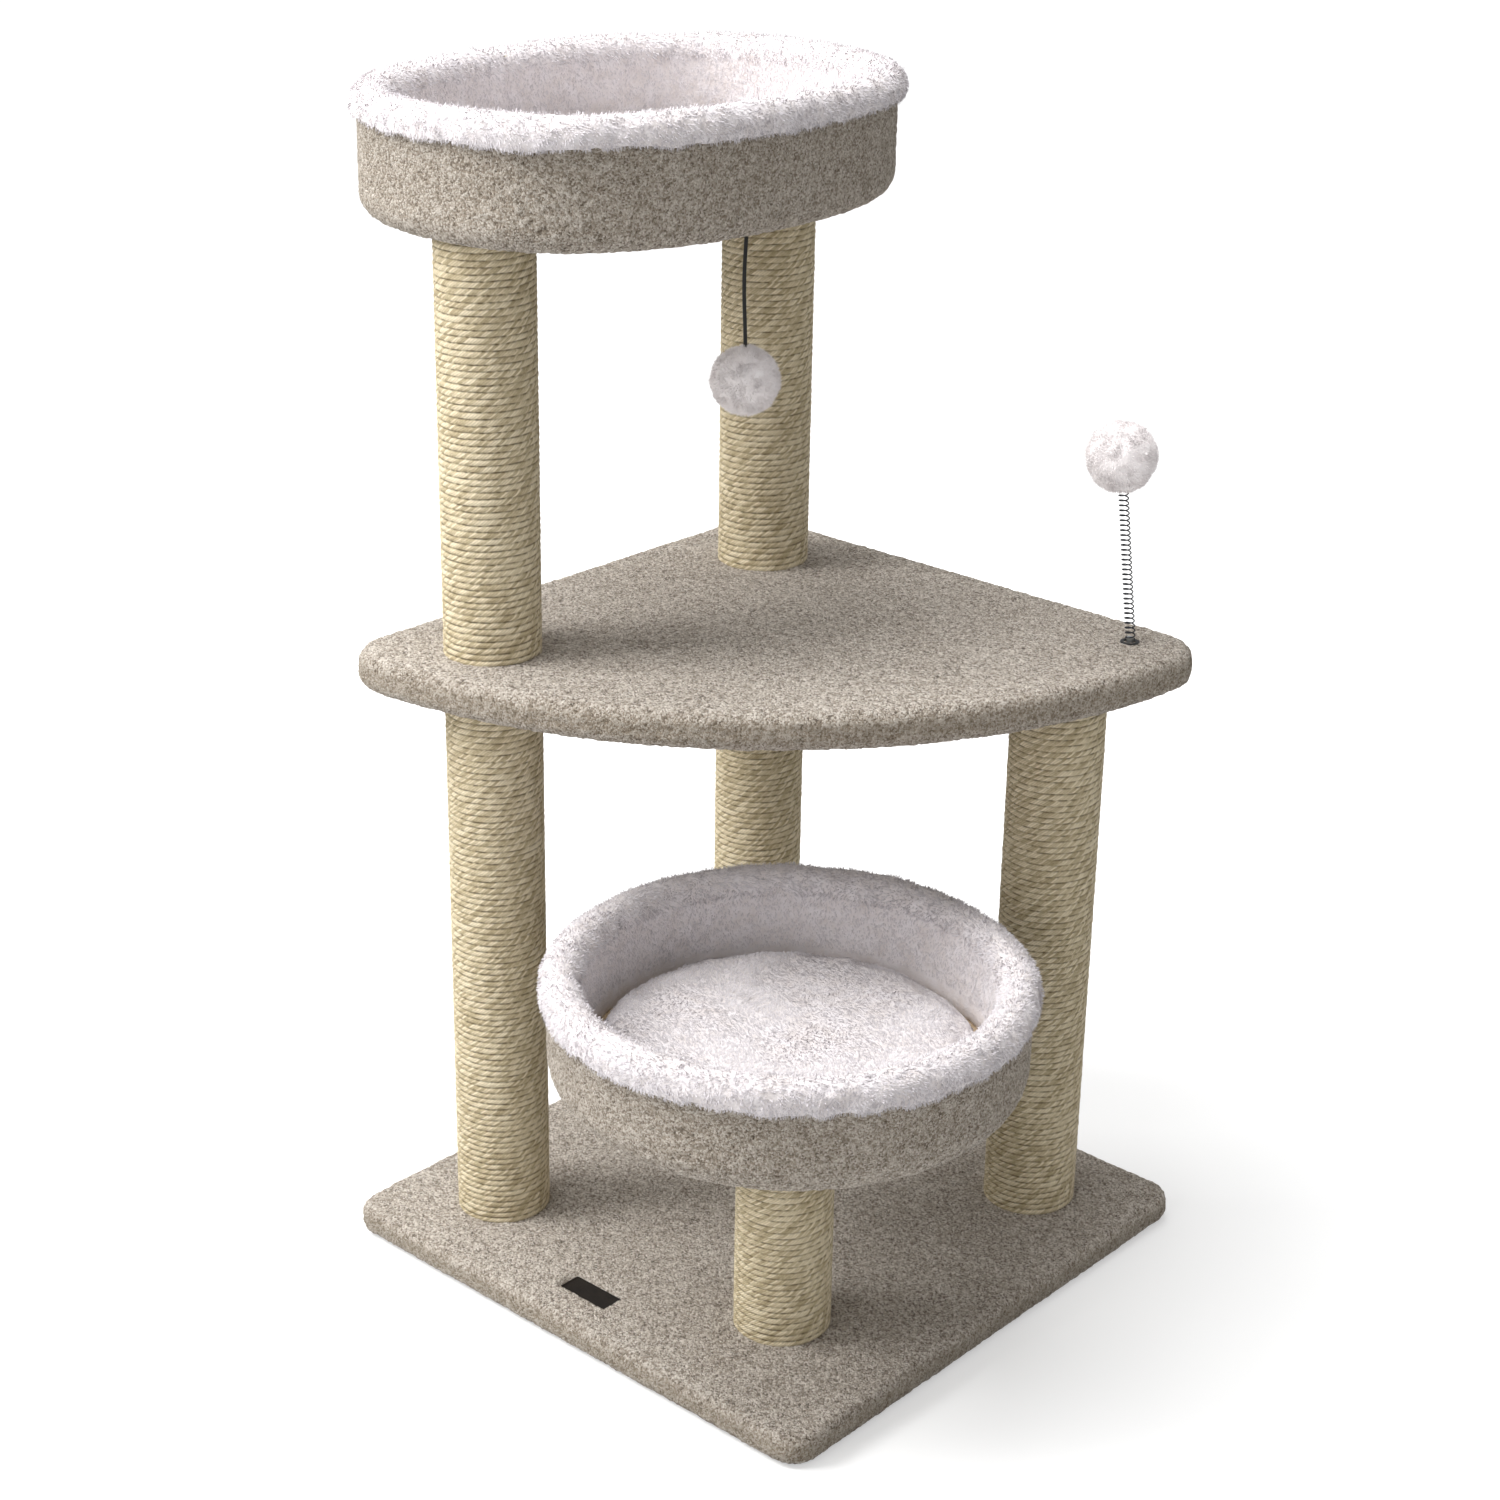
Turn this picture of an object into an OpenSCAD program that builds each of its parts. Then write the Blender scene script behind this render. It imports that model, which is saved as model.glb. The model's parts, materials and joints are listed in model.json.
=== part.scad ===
// Cat tree: a carpeted base, sisal posts, a quarter-round platform, an oval
// bed on top and a round bed in front, with a hanging toy and a spring toy.
// Units are millimetres. The origin is on the floor under the middle of the
// base, +Z is up, and the base's sides run along X and Y.

/* [Base] */
// Side of the square base over its carpet
base_w = 580; // [530:5:700]
// Corner radius of the base, seen from above
base_corner_r = 28; // [18:1:60]
// Thickness of the base board
base_board_t = 16; // [12:1:25]
// Thickness of the closing cloth under the base
base_lining_t = 1.5; // [1:0.5:3]
// Width of the carpet turned in under the base
base_turn_in = 40; // [25:1:60]

/* [Carpet] */
// Thickness of the carpet with its pile
carpet_t = 7; // [4:0.5:10]
// Thickness of the carpet where it is pressed flat underneath
carpet_flat_t = 5.5; // [3:0.5:8]
// Radius of the rolled edge of a carpeted board
edge_roll = 10; // [4:0.5:12]

/* [Posts] */
// Diameter of a post over its rope
post_d = 90; // [76:1:110]
// Diameter of the sisal rope
rope_t = 6; // [4:0.5:8]
// Wall of the cardboard tube
tube_wall = 4; // [2.5:0.5:6]
// Distance from the base's edges to the axis of a tall post
post_inset = 106; // [95:1:120]
// Distance from the base's edges to the axis of the short post
short_post_inset = 138; // [115:1:155]
// Length of the tall lower posts
tall_post_h = 542; // [400:1:700]
// Length of the upper posts
upper_post_h = 382; // [250:1:500]
// Length of the short post
short_post_h = 254; // [150:1:270]
// Thickness of the wooden plug in each end of a tube
plug_t = 18; // [16:1:30]

/* [Platform] */
// How much shorter the platform's straight sides are than the base's
platform_less = 12; // [0:1:40]
// Rise of the platform's curved front over the line between its tips
platform_bulge = 175; // [160:1:190]
// Corner radius of the platform
platform_corner_r = 46; // [25:1:60]
// Radius of the platform's rolled edge
platform_roll = 13; // [8:0.5:15]
// Thickness of the platform's board
platform_board_t = 22; // [18:1:30]
// Distance from the base's edge to the platform's edge at the back
platform_overhang = 0; // [-20:1:20]

/* [Upper bed] */
// Distance from the axis of an upper post to the nearer end of the bed
upper_bed_past = 74; // [60:1:110]
// Width of the upper bed over its carpet
upper_bed_w = 384; // [330:1:460]
// Height of the upper bed
upper_bed_h = 116; // [100:1:150]
// Squareness of the upper bed's oval, where 2 is an ellipse
upper_bed_power = 2.4; // [2.1:0.1:3]

/* [Lower bed] */
// Diameter of the lower bed over its carpet
lower_bed_d = 424; // [360:1:510]
// Height of the lower bed
lower_bed_h = 112; // [105:1:160]
// Radius of the lower bed's rounded bottom edge
lower_bed_roll = 30; // [15:1:34]
// Radius of the upper bed's rounded bottom edge
upper_bed_roll = 22; // [15:1:30]

/* [Bed walls] */
// Thickness of a bed's floor board
bed_floor_t = 12; // [10:0.5:18]
// Thickness of the stiff hoop in a bed's wall
hoop_t = 6; // [3:0.5:9]
// Thickness of the foam inside the hoop
foam_t = 10; // [5:0.5:16]
// Thickness of the plush lining
plush_t = 8; // [5:0.5:12]
// Length of lining that hangs down outside the wall
plush_flap = 28; // [20:1:50]
// Depth from a bed's rim down to the edge of its pad
pad_drop = 70; // [50:1:80]
// Height of a pad's crown over its edge
pad_crown = 10; // [4:1:18]
// Gap all round a pad
pad_gap = 1.5; // [0.5:0.5:4]

/* [Toys] */
// Diameter of the hanging pompom
hanging_pompom_d = 69; // [50:1:90]
// Diameter of the hanging toy's elastic cord
cord_d = 3.5; // [2.5:0.5:5]
// Diameter of the pompom on the spring
spring_pompom_d = 71; // [50:1:90]
// Outer diameter of the spring
spring_d = 10; // [8:0.5:14]
// Diameter of the spring's wire
spring_wire_d = 1.3; // [0.8:0.1:1.6]
// Pitch of the spring's turns
spring_pitch = 4.7; // [3:0.1:7]
// Height of the spring above the platform
spring_h = 142; // [100:1:200]
// Lean of the spring toward the front left, in degrees
spring_tilt = 6.5; // [0:0.5:9]
// Distance from the platform's tip to the spring's axis
spring_from_tip = 57; // [45:1:75]
// Distance from the platform's back edge to the spring's axis
spring_from_back = 52; // [45:1:60]
// Distance from the upper bed's front side to the hanging cord
cord_inset = 73; // [60:1:100]
// Distance from the upper bed's middle to the cord, along the bed
cord_along = 20; // [-60:1:60]

/* [Label] */
// Length of the blank plate
label_l = 60; // [40:1:90]
// Width of the blank plate
label_w = 25; // [15:1:40]
// Place of the plate's middle along X
label_x = -9; // [-60:1:40]
// Distance from the base's front edge to the plate's middle
label_edge = 51; // [35:1:80]

/* [Fasteners] */
// Diameter of the bolts and studs
bolt_d = 8; // [6:1:10]
// Width over the corners of a bolt's head
bolt_head_d = 14.4; // [10:0.1:18]
// Height of a bolt's head
bolt_head_h = 5; // [3:0.5:6]
// Diameter of a washer
washer_d = 22; // [18:1:24]
// Thickness of a washer
washer_t = 1.6; // [1:0.1:2]
// Depth of a threaded insert
insert_h = 14; // [10:1:15]
// Outer diameter of a threaded insert
insert_d = 12; // [11:0.5:16]

/* [Fits] */
// Radial gap of a plug in its tube
plug_gap = 0.2; // [0.1:0.1:0.5]
// Radial gap between a rope winding and its tube
rope_gap = 0.1; // [0.05:0.05:0.3]
// Radial gap of a bolt in its insert
thread_gap = 0.1; // [0.05:0.05:0.2]
// Radial gap of a bolt in a board
bolt_gap = 0.6; // [0.3:0.1:1.5]
// Radial gap of a bolt in carpet
carpet_gap = 2; // [1:0.5:4]
// Depth left under a head, a knot or a plate
head_gap = 0.4; // [0.2:0.1:1]

/* [Hidden] */
POSTS = ["left_post", "back_post", "right_post", "front_post",
         "upper_left_post", "upper_back_post"];
POST_PIECES = ["tube", "rope", "bottom_plug", "top_plug"];
BEDS = ["upper_bed", "lower_bed"];
BED_PIECES = ["floor", "hoop", "foam", "carpet", "lining", "pad", "bolts",
              "washers"];

$fn = 48;
hull_fn = 32;
oval_steps = 72;
arc_steps = 5;
skin = 1;
least_r = 1;
board_edge = 0.5;
cloth_edge = 0.1;

// Heights, and the distance from the base's edge to its closing cloth
lining_inset = edge_roll + 2;
base_board_z = base_lining_t + carpet_flat_t;
base_h = base_board_z + base_board_t + carpet_t;
platform_z = base_h + tall_post_h;
platform_board_z = platform_z + carpet_t;
platform_top = platform_board_z + platform_board_t + carpet_t;
upper_bed_z = platform_top + upper_post_h;
lower_bed_z = base_h + short_post_h;

// Posts: place, foot and length of each, in the order of POSTS
post_place = base_w / 2 - post_inset;
short_post_place = base_w / 2 - short_post_inset;
post_feet = [
    [-post_place, -post_place, base_h],
    [-post_place, post_place, base_h],
    [post_place, post_place, base_h],
    [short_post_place, -short_post_place, base_h],
    [-post_place, -post_place, platform_top],
    [-post_place, post_place, platform_top]];
post_lengths = [tall_post_h, tall_post_h, tall_post_h, short_post_h,
                upper_post_h, upper_post_h];
tube_r = post_d / 2 - rope_t;
plug_r = tube_r - tube_wall - plug_gap;

// Platform: its back corner, and the middle of its curved front
back_x = -base_w / 2 - platform_overhang;
back_y = -back_x;
platform_w = base_w - platform_less;
half_chord = platform_w / sqrt(2);
platform_arc_r = (pow(half_chord, 2) + pow(platform_bulge, 2))
                 / (2 * platform_bulge);
arc_shift = (half_chord - platform_arc_r + platform_bulge) / sqrt(2);
arc_x = back_x + arc_shift;
arc_y = back_y - arc_shift;
tip_arc_r = platform_arc_r - platform_corner_r;
tip_angle = acos((platform_corner_r - arc_shift) / tip_arc_r);

// Beds: foot, half length along Y, half width along X, power, height, roll
bed_data = [
    [[-post_place, 0, upper_bed_z], post_place + upper_bed_past,
     upper_bed_w / 2, upper_bed_power, upper_bed_h, upper_bed_roll],
    [[short_post_place, -short_post_place, lower_bed_z], lower_bed_d / 2,
     lower_bed_d / 2, 2, lower_bed_h, lower_bed_roll]];
bed_bolts = [
    [[-post_place, -post_place], [-post_place, post_place]],
    [[short_post_place, -short_post_place]]];
floor_z = carpet_flat_t;
floor_top = floor_z + bed_floor_t;
hoop_in = carpet_t + hoop_t;
wall_in = hoop_in + foam_t;
lining_in = wall_in + plush_t;
rim_r = (lining_in + plush_t) / 2;
rim_flat = 1.5;

// Fasteners
bolt_r = bolt_d / 2;
counterbore_r = washer_d / 2 + head_gap;
head_depth = bolt_head_h + washer_t + head_gap;
insert_depth = insert_h - head_gap;

// Crown of the pads: its share of the height, and its place inward
crown_share = 0.6;
crown_in = 6;

// Spring toy
spring_x = back_x + platform_w - spring_from_tip;
spring_y = back_y - spring_from_back;
socket_flange_r = spring_d / 2 + 4;
socket_r = spring_d / 2 + 2;
spring_room = 0.6;
socket_bore_r = spring_d / 2 + spring_room;
socket_flange_t = 1.2;
socket_sink = 8;
socket_floor = 3;
pin_room = 0.4;
pin_r = spring_d / 2 - spring_wire_d - pin_room;
pin_rise = 5;
pivot_rise = 1.5;
foot_rise = 3;
pin_top = platform_top + pin_rise;
spring_pivot_z = pin_top + pivot_rise;
spring_foot = spring_pivot_z + foot_rise;
spring_top = platform_top + spring_h;
spring_dip = 8;
spring_pompom_z = spring_top + spring_pompom_d / 2;
spring_line_r = (spring_d - spring_wire_d) / 2;
spring_rise = spring_top + spring_dip - spring_foot - spring_wire_d;
spring_turns = spring_rise / spring_pitch;
spring_steps = 12;
spring_sides = 6;
cord_sides = 8;
spring_shift = tan(spring_tilt) / sqrt(2);
spring_grip = 0.2;
spring_hold_z = spring_top + spring_dip / 2;
pompom_bore_r = spring_d / 2 + spring_grip
    + tan(spring_tilt) * spring_dip / 2;

// Hanging toy: the cord's route from the bed down into the pompom, and the
// distance down from the hole's mouth to each of its points
cord_x = upper_bed_w / 2 - post_place - cord_inset;
cord_y = cord_along;
cord_side = [0, 0.2, 0.5, 0.8, 1.1, 1.3, 1.4, 1.4, 1.3, 1.1, 0.8, 0.5, 0.3,
             0.1, 0];
cord_drop = [0.5, 9, 18, 27, 36, 45, 54, 62, 70, 79, 88, 97, 106, 114, 123];
cord_route = [for (i = [0 : len(cord_drop) - 1])
    [cord_x - cord_side[i], cord_y - cord_side[i], upper_bed_z - cord_drop[i]]];
cord_end = upper_bed_z - cord_drop[len(cord_drop) - 1];
cord_dip = 10;
hanging_pompom_z = cord_end + cord_dip - hanging_pompom_d / 2;
cord_hole_r = cord_d / 2 + 1.5;
knot_r = 4.5;
knot_well_r = knot_r + 0.5;
knot_well_h = 2 * knot_r + head_gap;
stub_gap = 1.5;

// ---- Shared shapes ----

// Points of a quarter circle of radius r round [x, y], from angle a0 on
function quarter(x, y, r, a0) =
    [for (i = [0 : arc_steps])
        [x + r * cos(a0 + 90 * i / arc_steps),
         y + r * sin(a0 + 90 * i / arc_steps)]];

// A disc whose top and bottom edges are rounded by roll
module rolled_disc(r, h, roll) {
    e = min(roll, h / 2 - 0.1, r - 0.1);
    rotate_extrude($fn = hull_fn)
        polygon(concat([[0, 0]], quarter(r - e, e, e, -90),
                       quarter(r - e, h - e, e, 0), [[0, h]]));
}

// The square base, inset by d and rolled at its edges, from z0 up by h
module base_shape(d, z0, h, roll) {
    r = max(base_corner_r - d, least_r);
    place = base_w / 2 - d - r;
    hull()
        for (x = [-place, place], y = [-place, place])
            translate([x, y, z0])
                rolled_disc(r, h, roll);
}

// The quarter-round platform, inset by d and rolled, from z0 up by h
module platform_shape(d, z0, h, roll) {
    r = platform_corner_r;
    steps = 12;
    hull() {
        translate([back_x + r, back_y - r, z0])
            rolled_disc(r - d, h, roll);
        for (i = [0 : steps]) {
            a = -tip_angle + i * (2 * tip_angle - 90) / steps;
            translate([arc_x + tip_arc_r * cos(a), arc_y + tip_arc_r * sin(a),
                       z0])
                rolled_disc(r - d, h, roll);
        }
    }
}

// An upright hole of radius r from z0 to z1
module hole(x, y, r, z0, z1) {
    translate([x, y, z0])
        cylinder(h = z1 - z0, r = r);
}

// A pipe from z0 to z1
module pipe(x, y, r_out, r_in, z0, z1) {
    difference() {
        hole(x, y, r_out, z0, z1);
        hole(x, y, r_in, z0 - skin, z1 + skin);
    }
}

// A hexagon-headed bolt whose head rests at z and whose shank ends at z1
module bolt(x, y, z, z1) {
    up = sign(z1 - z);
    translate([x, y, z])
        mirror([0, 0, up < 0 ? 1 : 0]) {
            cylinder(h = abs(z1 - z), r = bolt_r);
            translate([0, 0, -bolt_head_h])
                cylinder(h = bolt_head_h, r = bolt_head_d / 2, $fn = 6);
        }
}

// A point of the oval with half length a along Y, half width b along X
function oval_point(a, b, p, t) =
    [b * sign(cos(t)) * pow(abs(cos(t)), 2 / p),
     a * sign(sin(t)) * pow(abs(sin(t)), 2 / p)];

function oval(a, b, p, d) =
    [for (i = [0 : oval_steps - 1])
        oval_point(a - d, b - d, p, 360 * i / oval_steps)];

// A ring swept round a bed. The section is a list of [inset, z] that runs
// counter-clockwise with the bed's outside to the right.
module bed_ring(bed, section) {
    m = len(section);
    n = oval_steps;
    translate(bed[0])
        if (bed[3] == 2)
            rotate_extrude($fn = 96)
                polygon([for (s = section) [bed[1] - s[0], s[1]]]);
        else
            polyhedron(
                points = [for (i = [0 : n - 1]) for (s = section)
                    let (q = oval_point(bed[1] - s[0], bed[2] - s[0], bed[3],
                                        360 * i / n))
                    [q[0], q[1], s[1]]],
                faces = [for (i = [0 : n - 1]) for (j = [0 : m - 1])
                    let (a = i * m + j, b = ((i + 1) % n) * m + j,
                         c = ((i + 1) % n) * m + (j + 1) % m,
                         e = i * m + (j + 1) % m)
                    each [[a, e, c], [a, c, b]]]);
}

// A solid swept round a bed, closed flat below and above. The side is a list
// of [inset, z] from the bottom to the top.
module bed_solid(bed, side) {
    m = len(side);
    n = oval_steps;
    translate(bed[0])
        if (bed[3] == 2)
            rotate_extrude($fn = 96)
                polygon(concat([[0, side[0][1]]],
                               [for (s = side) [bed[1] - s[0], s[1]]],
                               [[0, side[m - 1][1]]]));
        else
            polyhedron(
                points = [for (s = side) for (i = [0 : n - 1])
                    let (q = oval_point(bed[1] - s[0], bed[2] - s[0], bed[3],
                                        360 * i / n))
                    [q[0], q[1], s[1]]],
                faces = concat(
                    [[for (i = [0 : n - 1]) i]],
                    [[for (i = [n - 1 : -1 : 0]) (m - 1) * n + i]],
                    [for (j = [0 : m - 2]) for (i = [0 : n - 1])
                        let (a = j * n + i, b = j * n + (i + 1) % n)
                        each [[a, a + n, b + n], [a, b + n, b]]]));
}

// A tube of radius r swept along points, closed at both ends
module swept_tube(points, r, sides) {
    n = len(points);
    function along(i) =
        let (v = points[min(i + 1, n - 1)] - points[max(i - 1, 0)])
        v / norm(v);
    function side(t) =
        let (u = cross(t, abs(t[2]) > 0.9 ? [1, 0, 0] : [0, 0, 1]))
        u / norm(u);
    polyhedron(
        points = [for (i = [0 : n - 1])
            let (t = along(i), u = side(t), v = cross(t, u))
            for (k = [0 : sides - 1])
                points[i] + r * (cos(360 * k / sides) * u
                                 + sin(360 * k / sides) * v)],
        faces = concat(
            [[for (k = [0 : sides - 1]) k]],
            [[for (k = [sides - 1 : -1 : 0]) (n - 1) * sides + k]],
            [for (i = [0 : n - 2]) for (k = [0 : sides - 1])
                let (a = i * sides + k, b = i * sides + (k + 1) % sides)
                each [[a, a + sides, b + sides], [a, b + sides, b]]]));
}

// ---- Base ----

module base_board() {
    color("burlywood")
        difference() {
            base_shape(carpet_t, base_board_z, base_board_t, board_edge);
            for (i = [0 : 3]) {
                f = post_feet[i];
                hole(f[0], f[1], bolt_r + bolt_gap, base_board_z - skin,
                     base_h);
                hole(f[0], f[1], counterbore_r, base_board_z - skin,
                     base_board_z + head_depth);
            }
        }
}

module base_carpet() {
    difference() {
        color([0.66, 0.61, 0.53])
            base_shape(0, base_lining_t, base_h - base_lining_t, edge_roll);
        base_shape(carpet_t, base_board_z, base_board_t, board_edge);
        base_shape(base_turn_in, 0, base_board_z + skin, cloth_edge);
        for (i = [0 : 3])
            hole(post_feet[i][0], post_feet[i][1], bolt_r + carpet_gap,
                 base_h - carpet_t - skin, base_h + skin);
        label_window(head_gap, base_h - carpet_t - skin, base_h + skin);
    }
}

module base_lining() {
    color("dimgray")
        difference() {
            base_shape(lining_inset, 0, base_lining_t, cloth_edge);
            for (i = [0 : 3])
                hole(post_feet[i][0], post_feet[i][1], counterbore_r, -skin,
                     base_lining_t + skin);
        }
}

// The plate's outline grown by gap
module label_window(gap, z0, z1) {
    translate([label_x - label_l / 2 - gap,
               -base_w / 2 + label_edge - label_w / 2 - gap, z0])
        cube([label_l + 2 * gap, label_w + 2 * gap, z1 - z0]);
}

module label_plate() {
    color([0.13, 0.1, 0.07])
        label_window(0, base_h - carpet_t, base_h - carpet_t / 2);
}

module base_bolts() {
    color("silver")
        for (i = [0 : 3])
            bolt(post_feet[i][0], post_feet[i][1],
                 base_board_z + head_depth - washer_t, base_h + insert_depth);
}

module base_washers() {
    color("silver")
        for (i = [0 : 3])
            pipe(post_feet[i][0], post_feet[i][1], washer_d / 2,
                 bolt_r + bolt_gap / 2, base_board_z + head_depth - washer_t,
                 base_board_z + head_depth);
}

// ---- Posts ----

module post_tube(i) {
    f = post_feet[i];
    color("peru")
        pipe(f[0], f[1], tube_r, tube_r - tube_wall, f[2],
             f[2] + post_lengths[i]);
}

module post_rope(i) {
    f = post_feet[i];
    color([0.83, 0.76, 0.58])
        pipe(f[0], f[1], post_d / 2, tube_r + rope_gap, f[2],
             f[2] + post_lengths[i]);
}

// The plug in the post's foot, or in its top
module post_plug(i, top) {
    f = post_feet[i];
    z0 = top ? f[2] + post_lengths[i] - plug_t : f[2];
    color("tan")
        pipe(f[0], f[1], plug_r, insert_d / 2, z0, z0 + plug_t);
}

module threaded_inserts() {
    color("goldenrod")
        for (i = [0 : len(POSTS) - 1], top = [0, 1]) {
            f = post_feet[i];
            z0 = f[2] + top * (post_lengths[i] - insert_h);
            pipe(f[0], f[1], insert_d / 2, bolt_r + thread_gap, z0,
                 z0 + insert_h);
        }
}

// ---- Platform ----

module platform_board() {
    top = platform_top - carpet_t;
    color("burlywood")
        difference() {
            platform_shape(carpet_t, platform_board_z, platform_board_t,
                       board_edge);
            for (i = [0 : 2])
                hole(post_feet[i][0], post_feet[i][1], bolt_r + bolt_gap,
                     platform_z, platform_top);
            hole(post_feet[2][0], post_feet[2][1], counterbore_r,
                 top - head_depth, top + skin);
            hole(spring_x, spring_y, socket_r, top - socket_sink, top + skin);
        }
}

module platform_carpet() {
    difference() {
        color([0.66, 0.61, 0.53])
            platform_shape(0, platform_z, platform_top - platform_z,
                           platform_roll);
        platform_shape(carpet_t, platform_board_z, platform_board_t,
                       board_edge);
        for (i = [0 : 1])
            hole(post_feet[i][0], post_feet[i][1], bolt_r + carpet_gap,
                 platform_z - skin, platform_top + skin);
        hole(post_feet[2][0], post_feet[2][1], bolt_r + carpet_gap,
             platform_z - skin, platform_board_z + skin);
        hole(spring_x, spring_y, socket_r, platform_top - carpet_t - skin,
             platform_top + skin);
    }
}

module platform_studs() {
    color("silver")
        for (i = [0 : 1])
            hole(post_feet[i][0], post_feet[i][1], bolt_r,
                 platform_z - insert_depth, platform_top + insert_depth);
}

module platform_bolt() {
    color("silver")
        bolt(post_feet[2][0], post_feet[2][1],
             platform_top - carpet_t - head_depth + washer_t,
             platform_z - insert_depth);
}

module platform_washer() {
    z0 = platform_top - carpet_t - head_depth;
    color("silver")
        pipe(post_feet[2][0], post_feet[2][1], washer_d / 2,
             bolt_r + bolt_gap / 2, z0, z0 + washer_t);
}

// ---- Spring toy ----

module spring_socket() {
    z0 = platform_top - carpet_t - socket_sink;
    color([0.08, 0.08, 0.08])
        difference() {
            union() {
                hole(spring_x, spring_y, socket_r, z0, platform_top);
                hole(spring_x, spring_y, socket_flange_r, platform_top,
                     platform_top + socket_flange_t);
            }
            hole(spring_x, spring_y, socket_bore_r, z0 + socket_floor,
                 platform_top + socket_flange_t + skin);
        }
}

module spring_pin() {
    color("silver")
        hole(spring_x, spring_y, pin_r,
             platform_top - carpet_t - socket_sink + socket_floor, pin_top);
}

function spring_back(z) = spring_shift * (z - spring_pivot_z);

module toy_spring() {
    z0 = spring_foot + spring_wire_d / 2;
    color("silver")
        swept_tube([for (i = [0 : floor(spring_turns * spring_steps)])
            let (z = z0 + spring_pitch * i / spring_steps)
            [spring_x - spring_back(z)
             + spring_line_r * cos(360 * i / spring_steps),
             spring_y - spring_back(z)
             + spring_line_r * sin(360 * i / spring_steps), z]],
            spring_wire_d / 2, spring_sides);
}

module spring_pompom() {
    color("white")
        difference() {
            translate([spring_x - spring_back(spring_pompom_z),
                       spring_y - spring_back(spring_pompom_z),
                       spring_pompom_z])
                sphere(d = spring_pompom_d);
            hole(spring_x - spring_back(spring_hold_z),
                 spring_y - spring_back(spring_hold_z), pompom_bore_r,
                 spring_foot, spring_top + spring_dip);
        }
}

// ---- Hanging toy ----

module cord_knot() {
    top = upper_bed_z + floor_top;
    color([0.07, 0.07, 0.07])
        union() {
            hole(cord_x, cord_y, cord_d / 2, upper_bed_z + stub_gap,
                 top - knot_r);
            translate([cord_x, cord_y, top - knot_r - head_gap])
                sphere(r = knot_r);
        }
}

module hanging_cord() {
    color([0.07, 0.07, 0.07])
        swept_tube(cord_route, cord_d / 2, cord_sides);
}

module hanging_pompom() {
    color("white")
        difference() {
            translate([cord_x, cord_y, hanging_pompom_z])
                sphere(d = hanging_pompom_d);
            hole(cord_x, cord_y, cord_d / 2 + 0.2, cord_end,
                 cord_end + cord_dip + skin);
        }
}

// ---- Beds, by their number in BEDS ----

// Where the cord's hole and knot go through the upper bed
module cord_hole(k) {
    if (k == 0)
        hole(cord_x, cord_y, cord_hole_r, upper_bed_z - skin,
             upper_bed_z + floor_top + skin);
}

// Height of the hoop's foot, and the floor board's bevelled lower edge, which
// follow the cover's rounded bottom edge
function hoop_foot(bed) = bed[5] / 2;

function floor_edge(bed) =
    [[max(hoop_in + 1, bed[5] * 0.75), floor_z], [hoop_in, hoop_foot(bed)]];

module bed_floor(k) {
    bed = bed_data[k];
    z = bed[0][2];
    color("burlywood")
        difference() {
            bed_solid(bed, concat(floor_edge(bed), [[hoop_in, floor_top]]));
            for (b = bed_bolts[k]) {
                hole(b[0], b[1], bolt_r + bolt_gap, z, z + floor_top + skin);
                hole(b[0], b[1], counterbore_r, z + floor_top - head_depth,
                     z + floor_top + skin);
            }
            cord_hole(k);
            if (k == 0)
                hole(cord_x, cord_y, knot_well_r,
                     upper_bed_z + floor_top - knot_well_h,
                     upper_bed_z + floor_top + skin);
        }
}

module bed_hoop(k) {
    bed = bed_data[k];
    foot = hoop_foot(bed);
    color("peru")
        bed_ring(bed, [[hoop_in, foot], [carpet_t, foot],
                       [carpet_t, bed[4] - plush_t],
                       [hoop_in, bed[4] - plush_t]]);
}

module bed_foam(k) {
    bed = bed_data[k];
    color("khaki")
        bed_ring(bed, [[wall_in, floor_top], [hoop_in, floor_top],
                       [hoop_in, bed[4] - plush_t],
                       [wall_in, bed[4] - plush_t]]);
}

// The carpet cover: its outer side with a rounded bottom edge, less the room
// for the floor board and the hoop
module bed_carpet(k) {
    bed = bed_data[k];
    roll = bed[5];
    z = bed[0][2];
    foot = hoop_foot(bed);
    top = bed[4] - plush_t;
    difference() {
        color([0.66, 0.61, 0.53])
            bed_solid(bed, concat([for (i = [0 : arc_steps])
                let (a = 90 * i / arc_steps)
                [roll * (1 - sin(a)), roll * (1 - cos(a))]],
                [[0, top]]));
        bed_solid(bed, concat(floor_edge(bed),
                              [[carpet_t, foot], [carpet_t, top + skin]]));
        for (b = bed_bolts[k])
            hole(b[0], b[1], bolt_r + carpet_gap, z - skin, z + floor_top);
        cord_hole(k);
    }
}

// The plush lining: rolled over the rim, down inside to the floor and a
// little way down outside
module bed_lining(k) {
    bed = bed_data[k];
    h = bed[4];
    top = h - plush_t;
    color("white")
        bed_ring(bed, concat(
            [[lining_in, floor_top], [wall_in, floor_top], [wall_in, top],
             [0, top], [0, h - plush_flap], [-plush_t, h - plush_flap]],
            [for (i = [0 : 2 * arc_steps])
                let (a = 90 * i / arc_steps)
                [rim_r - plush_t - rim_r * cos(a),
                 h - rim_r + rim_r * sin(a)]]));
}

module bed_pad(k) {
    bed = bed_data[k];
    d = lining_in + pad_gap;
    edge = bed[4] - pad_drop;
    soft = (edge - floor_top) / 2 - 1;
    color("snow")
        bed_solid(bed, concat(
            [for (i = [0 : arc_steps])
                let (a = 90 * i / arc_steps)
                [d + soft * (1 - sin(a)), floor_top + soft * (1 - cos(a))]],
            [for (i = [0 : arc_steps])
                let (a = 90 * i / arc_steps)
                [d + soft * (1 - cos(a)), edge - soft * (1 - sin(a))]],
            [[d + crown_in / 2 * soft, edge + pad_crown * crown_share],
             [d + crown_in * soft, edge + pad_crown]]));
}

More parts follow.
